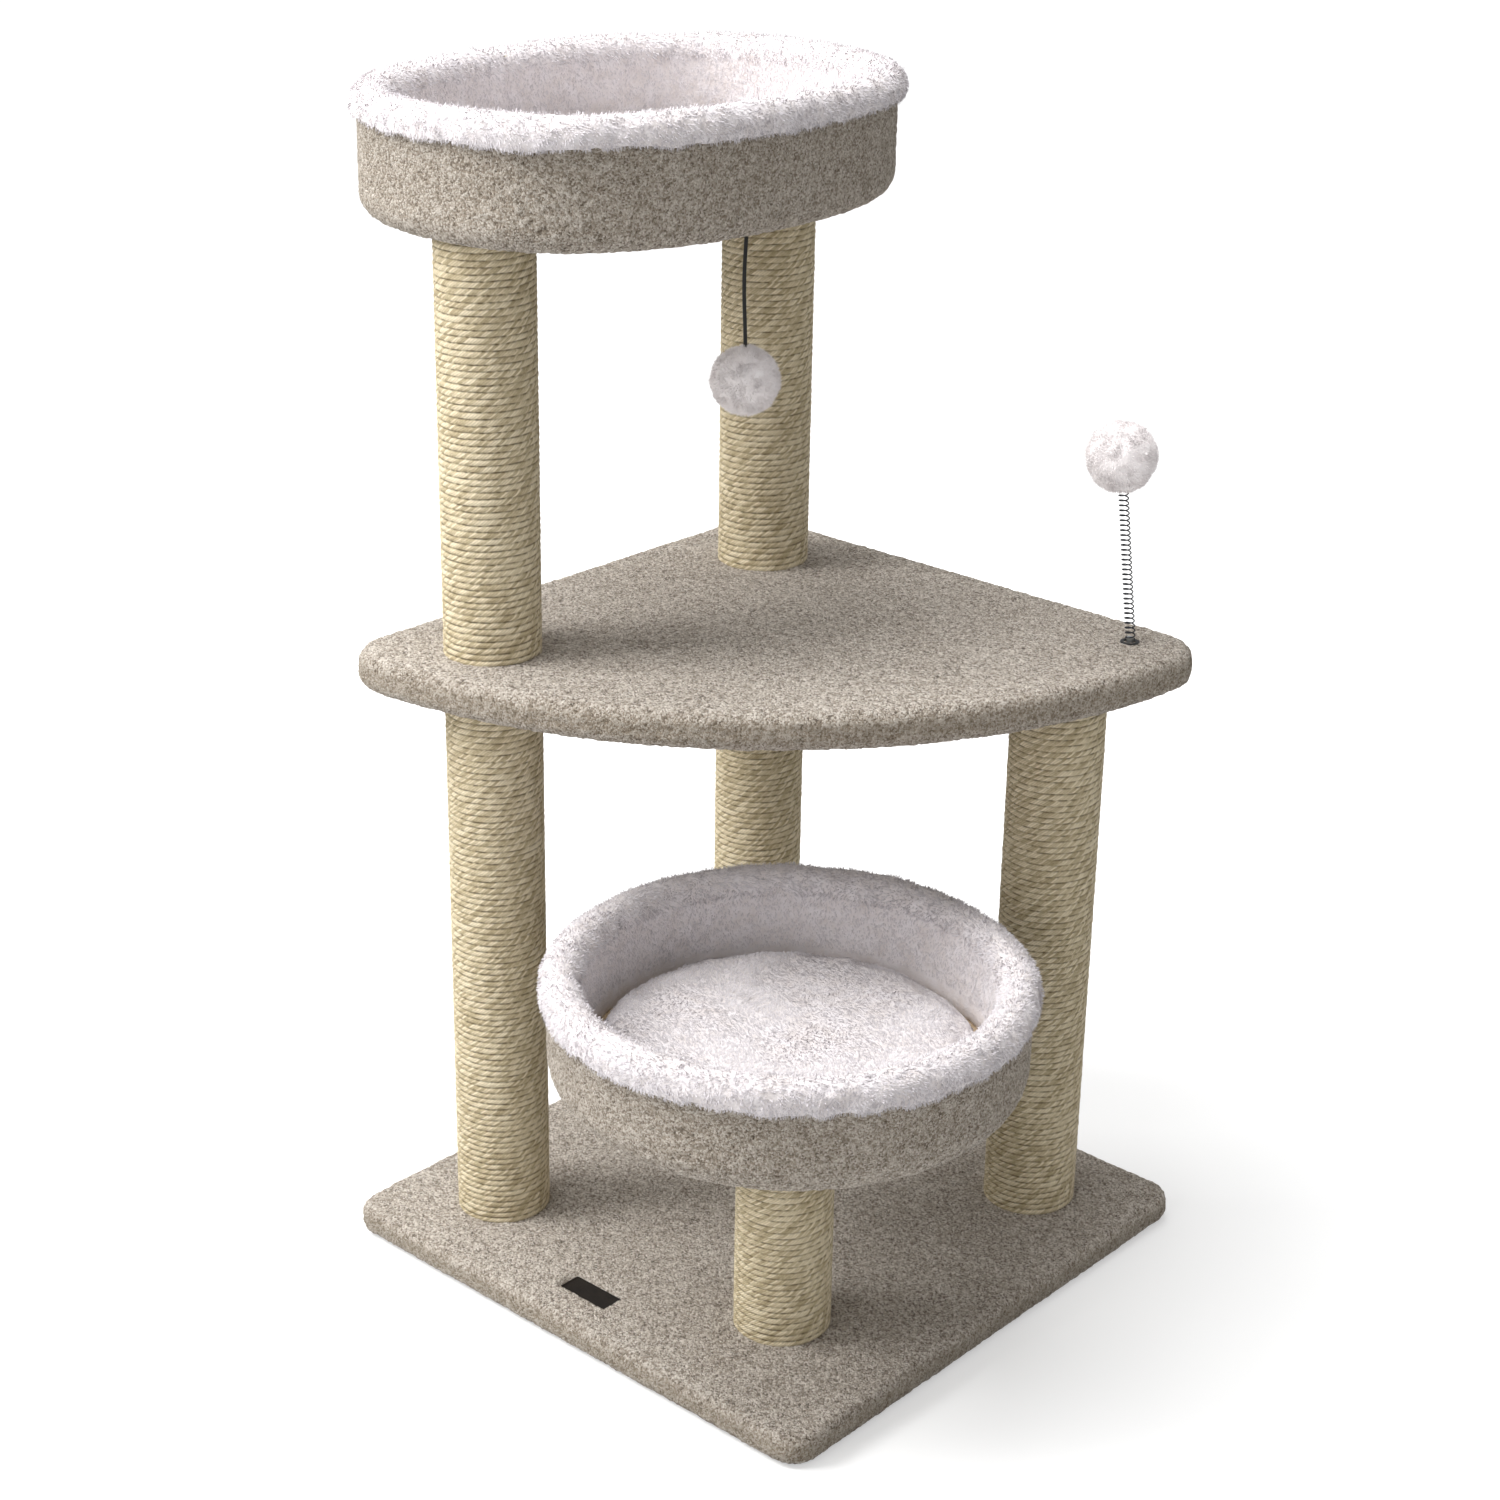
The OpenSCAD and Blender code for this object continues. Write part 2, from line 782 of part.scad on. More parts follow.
module bed_bolt_set(k) {
    z = bed_data[k][0][2];
    color("silver")
        for (b = bed_bolts[k])
            bolt(b[0], b[1], z + floor_top - head_depth + washer_t,
                 z - insert_depth);
}

module bed_washer_set(k) {
    z0 = bed_data[k][0][2] + floor_top - head_depth;
    color("silver")
        for (b = bed_bolts[k])
            pipe(b[0], b[1], washer_d / 2, bolt_r + bolt_gap / 2, z0,
                 z0 + washer_t);
}

// ---- Nodes ----

base_board();
base_carpet();
base_lining();
label_plate();
base_bolts();
base_washers();
threaded_inserts();
platform_board();
platform_carpet();
platform_studs();
platform_bolt();
platform_washer();
spring_socket();
spring_pin();
toy_spring();
spring_pompom();
cord_knot();
hanging_cord();
hanging_pompom();
for (i = [0 : len(POSTS) - 1]) {
    post_tube(i);
    post_rope(i);
    post_plug(i, false);
    post_plug(i, true);
}
for (k = [0 : 1]) {
    bed_floor(k);
    bed_hoop(k);
    bed_foam(k);
    bed_carpet(k);
    bed_lining(k);
    bed_pad(k);
    bed_bolt_set(k);
    bed_washer_set(k);
}
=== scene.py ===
"""Finished look of the cat tree.

All lengths are metres. The origin is on the floor under the middle of the
base, +Z is up, and the base's sides run along X and Y, as in the solids.
"""
import json
import logging
from dataclasses import dataclass, field
from enum import Enum
from itertools import product
from typing import Sequence

import bpy
import numpy as np
from mathutils import Matrix, Vector


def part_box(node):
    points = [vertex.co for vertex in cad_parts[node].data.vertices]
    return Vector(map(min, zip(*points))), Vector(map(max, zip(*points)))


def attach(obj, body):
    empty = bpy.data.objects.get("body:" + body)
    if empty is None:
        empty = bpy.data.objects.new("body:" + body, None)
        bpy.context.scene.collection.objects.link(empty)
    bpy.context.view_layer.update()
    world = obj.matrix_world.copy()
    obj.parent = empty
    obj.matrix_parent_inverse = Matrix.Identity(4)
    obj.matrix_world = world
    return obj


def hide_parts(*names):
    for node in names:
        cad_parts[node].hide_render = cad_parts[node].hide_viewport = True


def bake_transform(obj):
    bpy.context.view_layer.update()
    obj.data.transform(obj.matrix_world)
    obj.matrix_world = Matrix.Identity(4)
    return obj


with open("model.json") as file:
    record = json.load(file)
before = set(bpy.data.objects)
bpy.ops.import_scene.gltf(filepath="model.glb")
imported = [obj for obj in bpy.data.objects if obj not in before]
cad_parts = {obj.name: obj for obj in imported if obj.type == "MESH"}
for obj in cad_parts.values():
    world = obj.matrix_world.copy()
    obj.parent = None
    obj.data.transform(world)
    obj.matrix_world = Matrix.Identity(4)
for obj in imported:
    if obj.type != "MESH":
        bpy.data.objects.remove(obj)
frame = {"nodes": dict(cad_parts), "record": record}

Array = np.ndarray

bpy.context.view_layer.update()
MM = 0.001
TAU = 2 * np.pi
log = logging.getLogger("cat_tree")


# ---- Numbers spread over a surface ----

def dice(cells: Array, seed: int) -> Array:
    """Random value from 0 to 1 for each whole-numbered cell.

    The three numbers of a cell and the seed are multiplied by large odd
    numbers, added, and mixed by shifts and exclusive or.

    Args:
        cells: Whole numbers, three in the last axis.
        seed: Number of the draw.

    Returns:
        One value for each cell.
    """
    c = cells.astype(np.int64).astype(np.uint64)
    h = (c[..., 0] * np.uint64(374761393) + c[..., 1] * np.uint64(668265263)
         + c[..., 2] * np.uint64(2246822519) + np.uint64(seed * 3266489917))
    h = (h ^ (h >> np.uint64(29))) * np.uint64(0xBF58476D1CE4E5B9)
    h = (h ^ (h >> np.uint64(32))) * np.uint64(0x94D049BB133111EB)
    return ((h >> np.uint64(40)) & np.uint64(0xFFFFFF)) / float(0xFFFFFF)


def soft_noise(points: Array, cell: float, seed: int) -> Array:
    """Smooth noise from 0 to 1 with bumps as wide as a cell.

    The random values at the eight corners of each point's cell are blended
    by the smooth step of the point's place in the cell.

    Args:
        points: Places, three numbers in the last axis.
        cell: Width of a cell.
        seed: Number of the draw.

    Returns:
        One value for each point.
    """
    place = points / cell
    low = np.floor(place)
    part = place - low
    part = part * part * (3 - 2 * part)
    total = np.zeros(points.shape[:-1])
    for corner in product((0, 1), repeat=3):
        weight = np.prod(np.where(np.array(corner) == 1, part, 1 - part), -1)
        total = total + weight * dice(low + np.array(corner), seed)
    return total


def unit(vectors: Array) -> Array:
    """The vectors at length one."""
    size = np.linalg.norm(vectors, axis=-1, keepdims=True)
    return vectors / np.maximum(size, 1e-9)


def at_height(flat: Array, height: float) -> Array:
    """Places seen from above, all set at one height."""
    return np.concatenate([flat, np.full((*flat.shape[:-1], 1), height)], -1)


# ---- Meshes ----

@dataclass
class Skin:
    """Points, outward directions and faces gathered for one mesh."""

    points: list[Array] = field(default_factory=list)
    normals: list[Array] = field(default_factory=list)
    quads: list[Array] = field(default_factory=list)
    tris: list[Array] = field(default_factory=list)
    corner_uv: list[Array] = field(default_factory=list)
    count: int = 0

    def add(self, points: Array, normals: Array) -> Array:
        """Adds points and returns their numbers in the same layout.

        Args:
            points: Places, three numbers in the last axis.
            normals: Outward directions, or one for all.

        Returns:
            The points' numbers.
        """
        index = self.count + np.arange(points[..., 0].size).reshape(
            points.shape[:-1])
        self.points.append(points.reshape(-1, 3))
        self.normals.append(
            np.broadcast_to(normals, points.shape).reshape(-1, 3))
        self.count += index.size
        return index

    def sheet(self, index: Array, wrap: bool = False, flip: bool = False,
              uv: Array | None = None) -> None:
        """Joins a layout of point numbers with four-sided faces.

        With columns running counter-clockwise and rows running upwards the
        faces look outwards.

        Args:
            index: Point numbers in rows and columns.
            wrap: Whether the last column meets the first.
            flip: Whether the faces turn over.
            uv: Surface place of each point, with one more column if wrapped.
        """
        full = np.concatenate([index, index[:, :1]], 1) if wrap else index

        def corners(a: Array) -> Array:
            """The four corners of every cell.

            Args:
                a: Values in rows and columns.

            Returns:
                Values at four corners of each cell.
            """
            turn = [a[:-1, :-1], a[:-1, 1:], a[1:, 1:], a[1:, :-1]]
            turn = turn[::-1] if flip else turn
            return np.stack(turn, 2)

        self.quads.append(corners(full).reshape(-1, 4))
        if uv is not None:
            self.corner_uv.append(corners(uv).reshape(-1, 2))

    def cap(self, ring: Array, centre: Array, flip: bool = False) -> None:
        """Closes a counter-clockwise ring with a fan that looks up.

        Args:
            ring: Point numbers of the ring.
            centre: Place of the fan's tip.
            flip: Whether the fan looks down.
        """
        tip = self.add(np.asarray(centre, float)[None], np.zeros(3))[0]
        after = np.roll(ring, -1)
        pair = (after, ring) if flip else (ring, after)
        self.tris.append(np.stack([*pair, np.full(ring.size, tip)], 1))

    def all_points(self) -> Array:
        """Every point in one list."""
        return np.concatenate(self.points)

    def all_normals(self) -> Array:
        """Every outward direction in one list."""
        return np.concatenate(self.normals)

    def build(self, name: str, points: Array | None = None,
              values: dict[str, Array] | None = None,
              smooth: bool = True) -> bpy.types.Object:
        """Makes the object.

        Args:
            name: Name of the piece.
            points: Moved points, or None for the gathered ones.
            values: Named numbers, one for each point.
            smooth: Whether the faces shade smoothly.

        Returns:
            The new object, at the origin.
        """
        verts = self.all_points() if points is None else points
        quads = (np.concatenate(self.quads) if self.quads
                 else np.zeros((0, 4), int))
        tris = (np.concatenate(self.tris) if self.tris
                else np.zeros((0, 3), int))
        mesh = bpy.data.meshes.new(name)
        mesh.vertices.add(len(verts))
        mesh.vertices.foreach_set("co", verts.astype(np.float32).ravel())
        mesh.loops.add(quads.size + tris.size)
        mesh.loops.foreach_set(
            "vertex_index",
            np.concatenate([quads.ravel(), tris.ravel()]).astype(np.int32))
        mesh.polygons.add(len(quads) + len(tris))
        mesh.polygons.foreach_set("loop_start", np.concatenate(
            [4 * np.arange(len(quads)),
             quads.size + 3 * np.arange(len(tris))]).astype(np.int32))
        mesh.update(calc_edges=True)
        mesh.polygons.foreach_set(
            "use_smooth", np.full(len(mesh.polygons), smooth))
        if self.corner_uv:
            uv = np.zeros((quads.size + tris.size, 2), np.float32)
            given = np.concatenate(self.corner_uv)
            uv[:len(given)] = given
            mesh.uv_layers.new(name="winding").data.foreach_set(
                "uv", uv.ravel())
        for key, value in (values or {}).items():
            mesh.attributes.new(key, "FLOAT", "POINT").data.foreach_set(
                "value", value.astype(np.float32).ravel())
        mesh.validate()
        piece = bpy.data.objects.new(name, mesh)
        bpy.context.scene.collection.objects.link(piece)
        return piece


@dataclass(frozen=True)
class Outline:
    """A closed curve seen from above, counter-clockwise, evenly spaced."""

    points: Array
    normals: Array
    centre: Array

    @staticmethod
    def even(dense: Array, centre: Array, count: int) -> "Outline":
        """Spaces a dense closed curve evenly.

        The curve is walked by its length from the point that lies straight
        along +X of the centre. A normal is the tangent turned by a right
        angle.

        Args:
            dense: Points of the curve.
            centre: Point that the curve goes round.
            count: Number of points to make.

        Returns:
            The outline.
        """
        fine = 8
        loop = np.concatenate([dense, dense[:1]])
        steps = np.linalg.norm(np.diff(loop, axis=0), axis=1)
        walked = np.concatenate([[0], np.cumsum(steps)])
        at = np.linspace(0, walked[-1], fine * count, endpoint=False)
        xy = np.stack([np.interp(at, walked, loop[:, k]) for k in (0, 1)], 1)
        ahead = np.roll(xy, -2, 0) - np.roll(xy, 2, 0)
        normals = unit(np.stack([ahead[:, 1], -ahead[:, 0]], 1))
        turn = np.abs(np.arctan2(xy[:, 1] - centre[1], xy[:, 0] - centre[0]))
        first = int(np.argmin(turn))
        return Outline(np.roll(xy, -first, 0)[::fine],
                       np.roll(normals, -first, 0)[::fine], centre)

    @staticmethod
    def hull(discs: Array, radius: float, count: int) -> "Outline":
        """The line drawn tight round equal discs.

        In each direction the disc that reaches furthest is taken, and its
        middle is moved out by the radius.

        Args:
            discs: Middles of the discs.
            radius: Radius of a disc.
            count: Number of points to make.

        Returns:
            The outline.
        """
        angle = np.linspace(0, TAU, 2880, endpoint=False)
        way = np.stack([np.cos(angle), np.sin(angle)], 1)
        reach = np.argmax(way @ discs.T, 1)
        return Outline.even(discs[reach] + radius * way, discs.mean(0), count)

    @staticmethod
    def rounded(centre: Array, half: float | Array, radius: float,
                count: int) -> "Outline":
        """A rectangle round a centre, with a disc in each of its corners.

        Args:
            centre: Middle of the rectangle.
            half: Half its sides, or half its side if it is square.
            radius: Radius of its corners.
            count: Number of points to make.

        Returns:
            The outline.
        """
        corners = np.array([[1, 1], [-1, 1], [-1, -1], [1, -1]])
        return Outline.hull(centre + (half - radius) * corners, radius, count)

    @staticmethod
    def oval(centre: Array, half_l: float, half_w: float, power: float,
             count: int) -> "Outline":
        """An oval with |x/w| and |y/l| raised to a power adding up to one.

        Args:
            centre: Middle of the oval.
            half_l: Half its length along Y.
            half_w: Half its width along X.
            power: Two for an ellipse, more for a squarer oval.
            count: Number of points to make.

        Returns:
            The outline.
        """
        t = np.linspace(0, TAU, 5760, endpoint=False)
        c, s = np.cos(t), np.sin(t)
        xy = np.stack([half_w * np.sign(c) * np.abs(c) ** (2 / power),
                       half_l * np.sign(s) * np.abs(s) ** (2 / power)], 1)
        return Outline.even(xy + centre, centre, count)

    def inset(self, depth: float | Array) -> Array:
        """The curve moved inwards by a depth, or by one at each point."""
        return self.points - np.asarray(depth)[..., None] * self.normals

    def rings(self, inset: Array, height: Array) -> Array:
        """The curve repeated along a profile, one row for each point of it.

        Args:
            inset: Depth of each row inside the curve.
            height: Height of each row.

        Returns:
            Places in rows and columns.
        """
        flat = self.points[None] - inset[:, None, None] * self.normals[None]
        level = np.broadcast_to(height[:, None, None],
                                (*flat.shape[:2], 1))
        return np.concatenate([flat, level], 2)

    def ring_normals(self, out: Array, up: Array) -> Array:
        """Directions of a profile, from their outward and upward parts.

        Args:
            out: Outward part of each row.
            up: Upward part of each row.

        Returns:
            Directions in rows and columns.
        """
        flat = out[:, None, None] * self.normals[None]
        level = np.broadcast_to(up[:, None, None], (*flat.shape[:2], 1))
        return np.concatenate([flat, level], 2)


def patch(rim: Array, centre: Array) -> tuple[Array, Array]:
    """A square net of points drawn into a closed curve.

    A point's ring is the larger of its two net coordinates, and its place on
    the ring is carried to the same share of the curve. The curve is shrunk
    towards the centre by the ring's number over the last one's.

    Args:
        rim: Points of the curve, eight for each ring of the net.
        centre: Point that the curve shrinks to.

    Returns:
        The net's points, and the rows and columns of those on the rim.
    """
    n = len(rim) // 8
    step = np.arange(-n, n + 1) / n
    u, v = np.meshgrid(step, step, indexing="ij")
    ring = np.maximum(np.abs(u), np.abs(v))
    safe = np.maximum(ring, 1e-9)
    a, b = u / safe, v / safe
    share = np.where(a >= 1 - 1e-9, b % 8,
                     np.where(b >= 1 - 1e-9, 2 - a,
                              np.where(a <= -1 + 1e-9, 4 - b, 6 + a)))
    at = share * n
    low = np.floor(at + 1e-7).astype(int)
    part = np.clip(at - low, 0, 1)[..., None]
    edge = (rim[low % len(rim)] * (1 - part)
            + rim[(low + 1) % len(rim)] * part)
    xy = centre + ring[..., None] * (edge - centre)
    t = np.arange(8 * n) / n
    side = np.floor(((t + 1) % 8) / 2).astype(int)
    local = (t + 1) % 2 - 1
    pick_u = np.choose(side, [1 + 0 * t, -local, -1 + 0 * t, local])
    pick_v = np.choose(side, [local, 1 + 0 * t, -local, -1 + 0 * t])
    where = np.stack([np.rint(n + n * pick_u), np.rint(n + n * pick_v)])
    return xy, where.astype(int)


def arc_profile(centre: tuple[float, float], radius: float, start: float,
                stop: float, step: float) -> Array:
    """Points of an arc in a section, with the direction at each.

    Args:
        centre: Outward and upward place of the arc's middle.
        radius: Radius of the arc.
        start: First angle in degrees, from outwards towards up.
        stop: Last angle in degrees.
        step: Distance between points.

    Returns:
        Rows of outward place, height, outward part and upward part.
    """
    a0, a1 = np.radians(start), np.radians(stop)
    n = max(2, int(round(abs(a1 - a0) * radius / step)))
    a = np.linspace(a0, a1, n + 1)
    c, s = np.cos(a), np.sin(a)
    return np.stack([centre[0] + radius * c, centre[1] + radius * s, c, s], 1)


def line_profile(start: tuple[float, float], stop: tuple[float, float],
                 out: float, up: float, step: float) -> Array:
    """Points of a straight stretch in a section, without its first.

    Args:
        start: Outward place and height of its start.
        stop: Outward place and height of its end.
        out: Outward part of its direction.
        up: Upward part of its direction.
        step: Distance between points.

    Returns:
        Rows of outward place, height, outward part and upward part.
    """
    a, b = np.array(start), np.array(stop)
    n = max(1, int(round(np.linalg.norm(b - a) / step)))
    t = (np.arange(1, n + 1) / n)[:, None]
    way = np.broadcast_to([out, up], (n, 2))
    return np.concatenate([a + t * (b - a), way], 1)


def along(route: Array) -> Array:
    """Unit tangents of a route, from each point's two neighbours.

    Args:
        route: Points one after another.

    Returns:
        One tangent for each point.
    """
    ahead = np.concatenate([route[1:], route[-1:]])
    behind = np.concatenate([route[:1], route[:-1]])
    return unit(ahead - behind)


def tube(name: str, route: Array, radius: float | Array, sides: int
         ) -> bpy.types.Object:
    """A round tube carried along a route and closed at both ends.

    Each ring lies square to the route's tangent. Its first axis is the
    crossing of the tangent with a fixed direction.

    Args:
        name: Name of the piece.
        route: Points that the tube follows.
        radius: Radius, or one for each point.
        sides: Number of points in a ring.

    Returns:
        The piece.
    """
    tangent = along(route)
    fixed = (np.array([0.0, 0, 1]) if abs(tangent[:, 2]).mean() < 0.9
             else np.array([1.0, 0, 0]))
    side = unit(np.cross(tangent, fixed))
    other = np.cross(tangent, side)
    angle = np.linspace(0, TAU, sides, endpoint=False)[None]
    way = (np.cos(angle)[..., None] * side[:, None]
           + np.sin(angle)[..., None] * other[:, None])
    size = np.broadcast_to(radius, (len(route),))[:, None, None]
    skin = Skin()
    index = skin.add(route[:, None] + size * way, way)
    walked = np.concatenate(
        [[0], np.cumsum(np.linalg.norm(np.diff(route, axis=0), axis=1))])
    u, v = np.meshgrid(walked, np.linspace(0, 1, sides + 1), indexing="ij")
    skin.sheet(index, wrap=True, uv=np.stack([u, v], 2))
    skin.cap(index[-1], route[-1])
    skin.cap(index[0], route[0], flip=True)
    return skin.build(name)


BEND_AT = 0.55


def blades(name: str, roots: Array, normals: Array, lean: Array,
           length: Array, width: float, droop: float
           ) -> bpy.types.Object:
    """Many thin tapering hairs in one mesh.

    A hair leaves its root along the lean, bends towards its droop, and
    narrows from its root to a point.

    Args:
        name: Name of the piece.
        roots: Place of each root.
        normals: Outward direction at each root.
        lean: Direction in which each hair sets off.
        length: Length of each hair.
        width: Width at the root.
        droop: How far the tip falls back towards the surface, as a share.

    Returns:
        The piece.
    """
    way = unit(lean)
    side = unit(np.cross(way, normals) + 1e-6) * width / 2
    size = length[:, None]
    middle = roots + BEND_AT * size * way
    end = roots + size * (way - droop * normals)
    rows = np.stack([roots - side, roots + side, middle - 0.75 * side,
                     middle + 0.75 * side, end], 1)
    skin = Skin()
    index = skin.add(rows, normals[:, None] * np.ones((1, 5, 1)))
    faces = np.array([[0, 1, 3], [0, 3, 2], [2, 3, 4]])
    skin.tris.append(index[:, faces].reshape(-1, 3))
    tip = np.broadcast_to(np.array([0, 0, BEND_AT, BEND_AT, 1.0]),
                          index.shape)
    own = np.broadcast_to(
        dice(np.stack([np.arange(len(roots))] * 3, 1), 5)[:, None],
        index.shape)
    return skin.build(name, values={"tip": tip, "tone": own})


def scatter(piece: bpy.types.Object, count: int, seed: int
            ) -> tuple[Array, Array]:
    """Random places on a finished mesh, evenly by area.

    A triangle is drawn by its share of the area, and a place in it by two
    random numbers folded into the triangle.

    Args:
        piece: Mesh object without live modifiers.
        count: Number of places.
        seed: Number of the draw.

    Returns:
        The places and the outward directions there.
    """
    mesh = piece.data
    mesh.calc_loop_triangles()
    n = len(mesh.loop_triangles)
    corner = np.empty(n * 3, np.int32)
    mesh.loop_triangles.foreach_get("vertices", corner)
    co = np.empty(len(mesh.vertices) * 3, np.float32)
    mesh.vertices.foreach_get("co", co)
    tri = co.reshape(-1, 3)[corner.reshape(-1, 3)].astype(float)
    cross = np.cross(tri[:, 1] - tri[:, 0], tri[:, 2] - tri[:, 0])
    area = np.linalg.norm(cross, axis=1)
    rng = np.random.default_rng(seed)
    pick = np.searchsorted(np.cumsum(area) / area.sum(), rng.random(count))
    pick = np.minimum(pick, n - 1)
    a, b = rng.random((2, count))
    over = a + b > 1
    a, b = np.where(over, 1 - a, a)[:, None], np.where(over, 1 - b, b)[:, None]
    t = tri[pick]
    place = t[:, 0] + a * (t[:, 1] - t[:, 0]) + b * (t[:, 2] - t[:, 0])
    return place, unit(cross[pick])


# ---- Materials ----

def tone(code: str) -> tuple[float, float, float, float]:
    """Linear colour of a web colour such as #a0b0c0.

    Args:
        code: The web colour.

    Returns:
        Red, green, blue and an alpha of one.
    """
    value = np.array([int(code[k:k + 2], 16) for k in (1, 3, 5)]) / 255
    linear = np.where(value <= 0.04045, value / 12.92,
                      ((value + 0.055) / 1.055) ** 2.4)
    return (*(float(x) for x in linear), 1.0)


Socket = bpy.types.NodeSocket


@dataclass
class Bench:
    """Places and joins the nodes of one tree."""

    tree: bpy.types.NodeTree

    def put(self, kind: str, props: dict | None = None,
            **inputs: object) -> bpy.types.Node:
        """Adds a node, sets its choices and fills or links its inputs.

        Args:
            kind: Blender's name for the node.
            props: The node's own choices.
            **inputs: Values or sockets, with _ for a space.

        Returns:
            The node.
        """
        node = self.tree.nodes.new(kind)
        for key, value in (props or {}).items():
            setattr(node, key, value)
        for key, value in inputs.items():
            self.fill(node.inputs[key.replace("_", " ")], value)
        return node

    def fill(self, socket: Socket, value: object) -> None:
        """Links a socket, or sets its own value.

        Args:
            socket: Input of a node.
            value: Socket or constant.
        """
        if isinstance(value, Socket):
            self.tree.links.new(value, socket)
        else:
            socket.default_value = value

    def place(self, scale: Sequence[float] = (1, 1, 1),
              turn: Sequence[float] = (0, 0, 0)) -> Socket:
        """Object coordinates, scaled and turned.

        Args:
            scale: Scale along each axis.
            turn: Turn about each axis in radians.

        Returns:
            The place socket.
        """
        coord = self.put("ShaderNodeTexCoord").outputs["Object"]
        return self.put("ShaderNodeMapping", Vector=coord, Scale=scale,
                        Rotation=turn).outputs[0]

    def value_of(self, name: str) -> Socket:
        """A number that the mesh carries at each point."""
        return self.put("ShaderNodeAttribute",
                        {"attribute_name": name}).outputs["Fac"]

    def noise(self, place: Socket, scale: float, detail: float = 2.0,
              rough: float = 0.5) -> Socket:
        """Fractal noise from 0 to 1."""
        return self.put("ShaderNodeTexNoise", Vector=place, Scale=scale,
                        Detail=detail, Roughness=rough).outputs["Fac"]

    def cells(self, place: Socket, scale: float) -> bpy.types.Node:
        """Irregular cells."""
        return self.put("ShaderNodeTexVoronoi", Vector=place, Scale=scale)

    def math(self, what: str, a: object, b: object = 0.0,
             c: object = 0.0) -> Socket:
        """One sum.

        Args:
            what: Kind of sum.
            a: First value or socket.
            b: Second one.
            c: Third one, where the sum takes it.

        Returns:
            The result.
        """
        node = self.put("ShaderNodeMath", {"operation": what})
        for socket, value in zip(node.inputs, (a, b, c)):
            self.fill(socket, value)
        return node.outputs[0]

    def span(self, value: Socket, low: float, high: float,
             to_low: float = 0.0, to_high: float = 1.0) -> Socket:
        """Carries one range of values to another and holds the ends.

        Args:
            value: Socket to carry over.
            low: Its low end.
            high: Its high end.
            to_low: Result at the low end.
            to_high: Result at the high end.

        Returns:
            The result.
        """
        return self.put("ShaderNodeMapRange", Value=value, From_Min=low,
                        From_Max=high, To_Min=to_low,
                        To_Max=to_high).outputs[0]

    def ramp(self, value: Socket, stops: Sequence[tuple[float, tuple]]
             ) -> Socket:
        """Colours along a value.

        Args:
            value: Place along the colours.
            stops: Place and colour of each mark.

        Returns:
            The colour.
        """
        node = self.put("ShaderNodeValToRGB", Fac=value)
        marks = node.color_ramp.elements
        while len(marks) < len(stops):
            marks.new(0.5)
        for mark, (at, colour) in zip(marks, stops):
            mark.position = at
            mark.color = colour
        return node.outputs["Color"]

    def mix(self, share: object, a: object, b: object,
            how: str = "MIX") -> Socket:
        """Blends two colours.

        Args:
            share: How much of the second.
            a: First colour.
            b: Second colour.
            how: Way of blending.

        Returns:
            The colour.
        """
        node = self.put("ShaderNodeMix", {"data_type": "RGBA",
                                          "blend_type": how})
        for socket, value in ((node.inputs[0], share), (node.inputs[6], a),
                              (node.inputs[7], b)):
            self.fill(socket, value)
        return node.outputs[2]

    def bump(self, height: Socket, distance: float, strength: float = 1.0,
             under: Socket | None = None) -> Socket:
        """Normals of a height field.

        Args:
            height: The height field.
            distance: Its depth in metres.
            strength: Share of the effect.
            under: Normal that it lies on, if any.

        Returns:
            The normal.
        """
        node = self.put("ShaderNodeBump", Height=height, Distance=distance,
                        Strength=strength)
        if under is not None:
            self.fill(node.inputs["Normal"], under)
        return node.outputs[0]

    def effect(self, kind: "Effect", **inputs: object) -> bpy.types.Node:
        """Places a shared effect with its own values.

        Args:
            kind: The effect.
            **inputs: Values or sockets, with _ for a space.

        Returns:
            The group's node.
        """
        node = self.tree.nodes.new("ShaderNodeGroup")
        node.node_tree = kind.tree()
        for key, value in inputs.items():
            self.fill(node.inputs[key.replace("_", " ")], value)
        return node


class Effect(Enum):
    """Effects that several materials share, each built once."""

    PILE = "pile grain"
    STRANDS = "twisted strands"
    HANDLING = "handling marks"
    CHIPS = "pressed chips"

    def tree(self) -> bpy.types.NodeTree:
        """The effect's node group, built when first asked for.

        Returns:
            The node group.
        """
        known = bpy.data.node_groups.get(self.value)
        if known is not None:
            return known
        tree = bpy.data.node_groups.new(self.value, "ShaderNodeTree")
        takes, gives, build = {
            Effect.PILE: (("Size", "Mottle Size"),
                          ("Fleck", "Mottle", "Height"), pile_grain),
            Effect.STRANDS: (("Strand", "Slant"),
                             ("Ridge", "Fibre", "Shade"), strand_twist),
            Effect.HANDLING: (("Size",), ("Mask", "Scuff"), handling_marks),
            Effect.CHIPS: (("Size",), ("Chip", "Height"), pressed_chips),
        }[self]
        tree.interface.new_socket(name="Vector", in_out="INPUT",
                                  socket_type="NodeSocketVector")
        for name in takes:
            tree.interface.new_socket(name=name, in_out="INPUT",
                                      socket_type="NodeSocketFloat")
        for name in gives:
            tree.interface.new_socket(name=name, in_out="OUTPUT",
                                      socket_type="NodeSocketFloat")
        bench = Bench(tree)
        inside = tree.nodes.new("NodeGroupInput").outputs
        out = tree.nodes.new("NodeGroupOutput")
        for name, socket in build(bench, inside).items():
            tree.links.new(socket, out.inputs[name])
        return tree


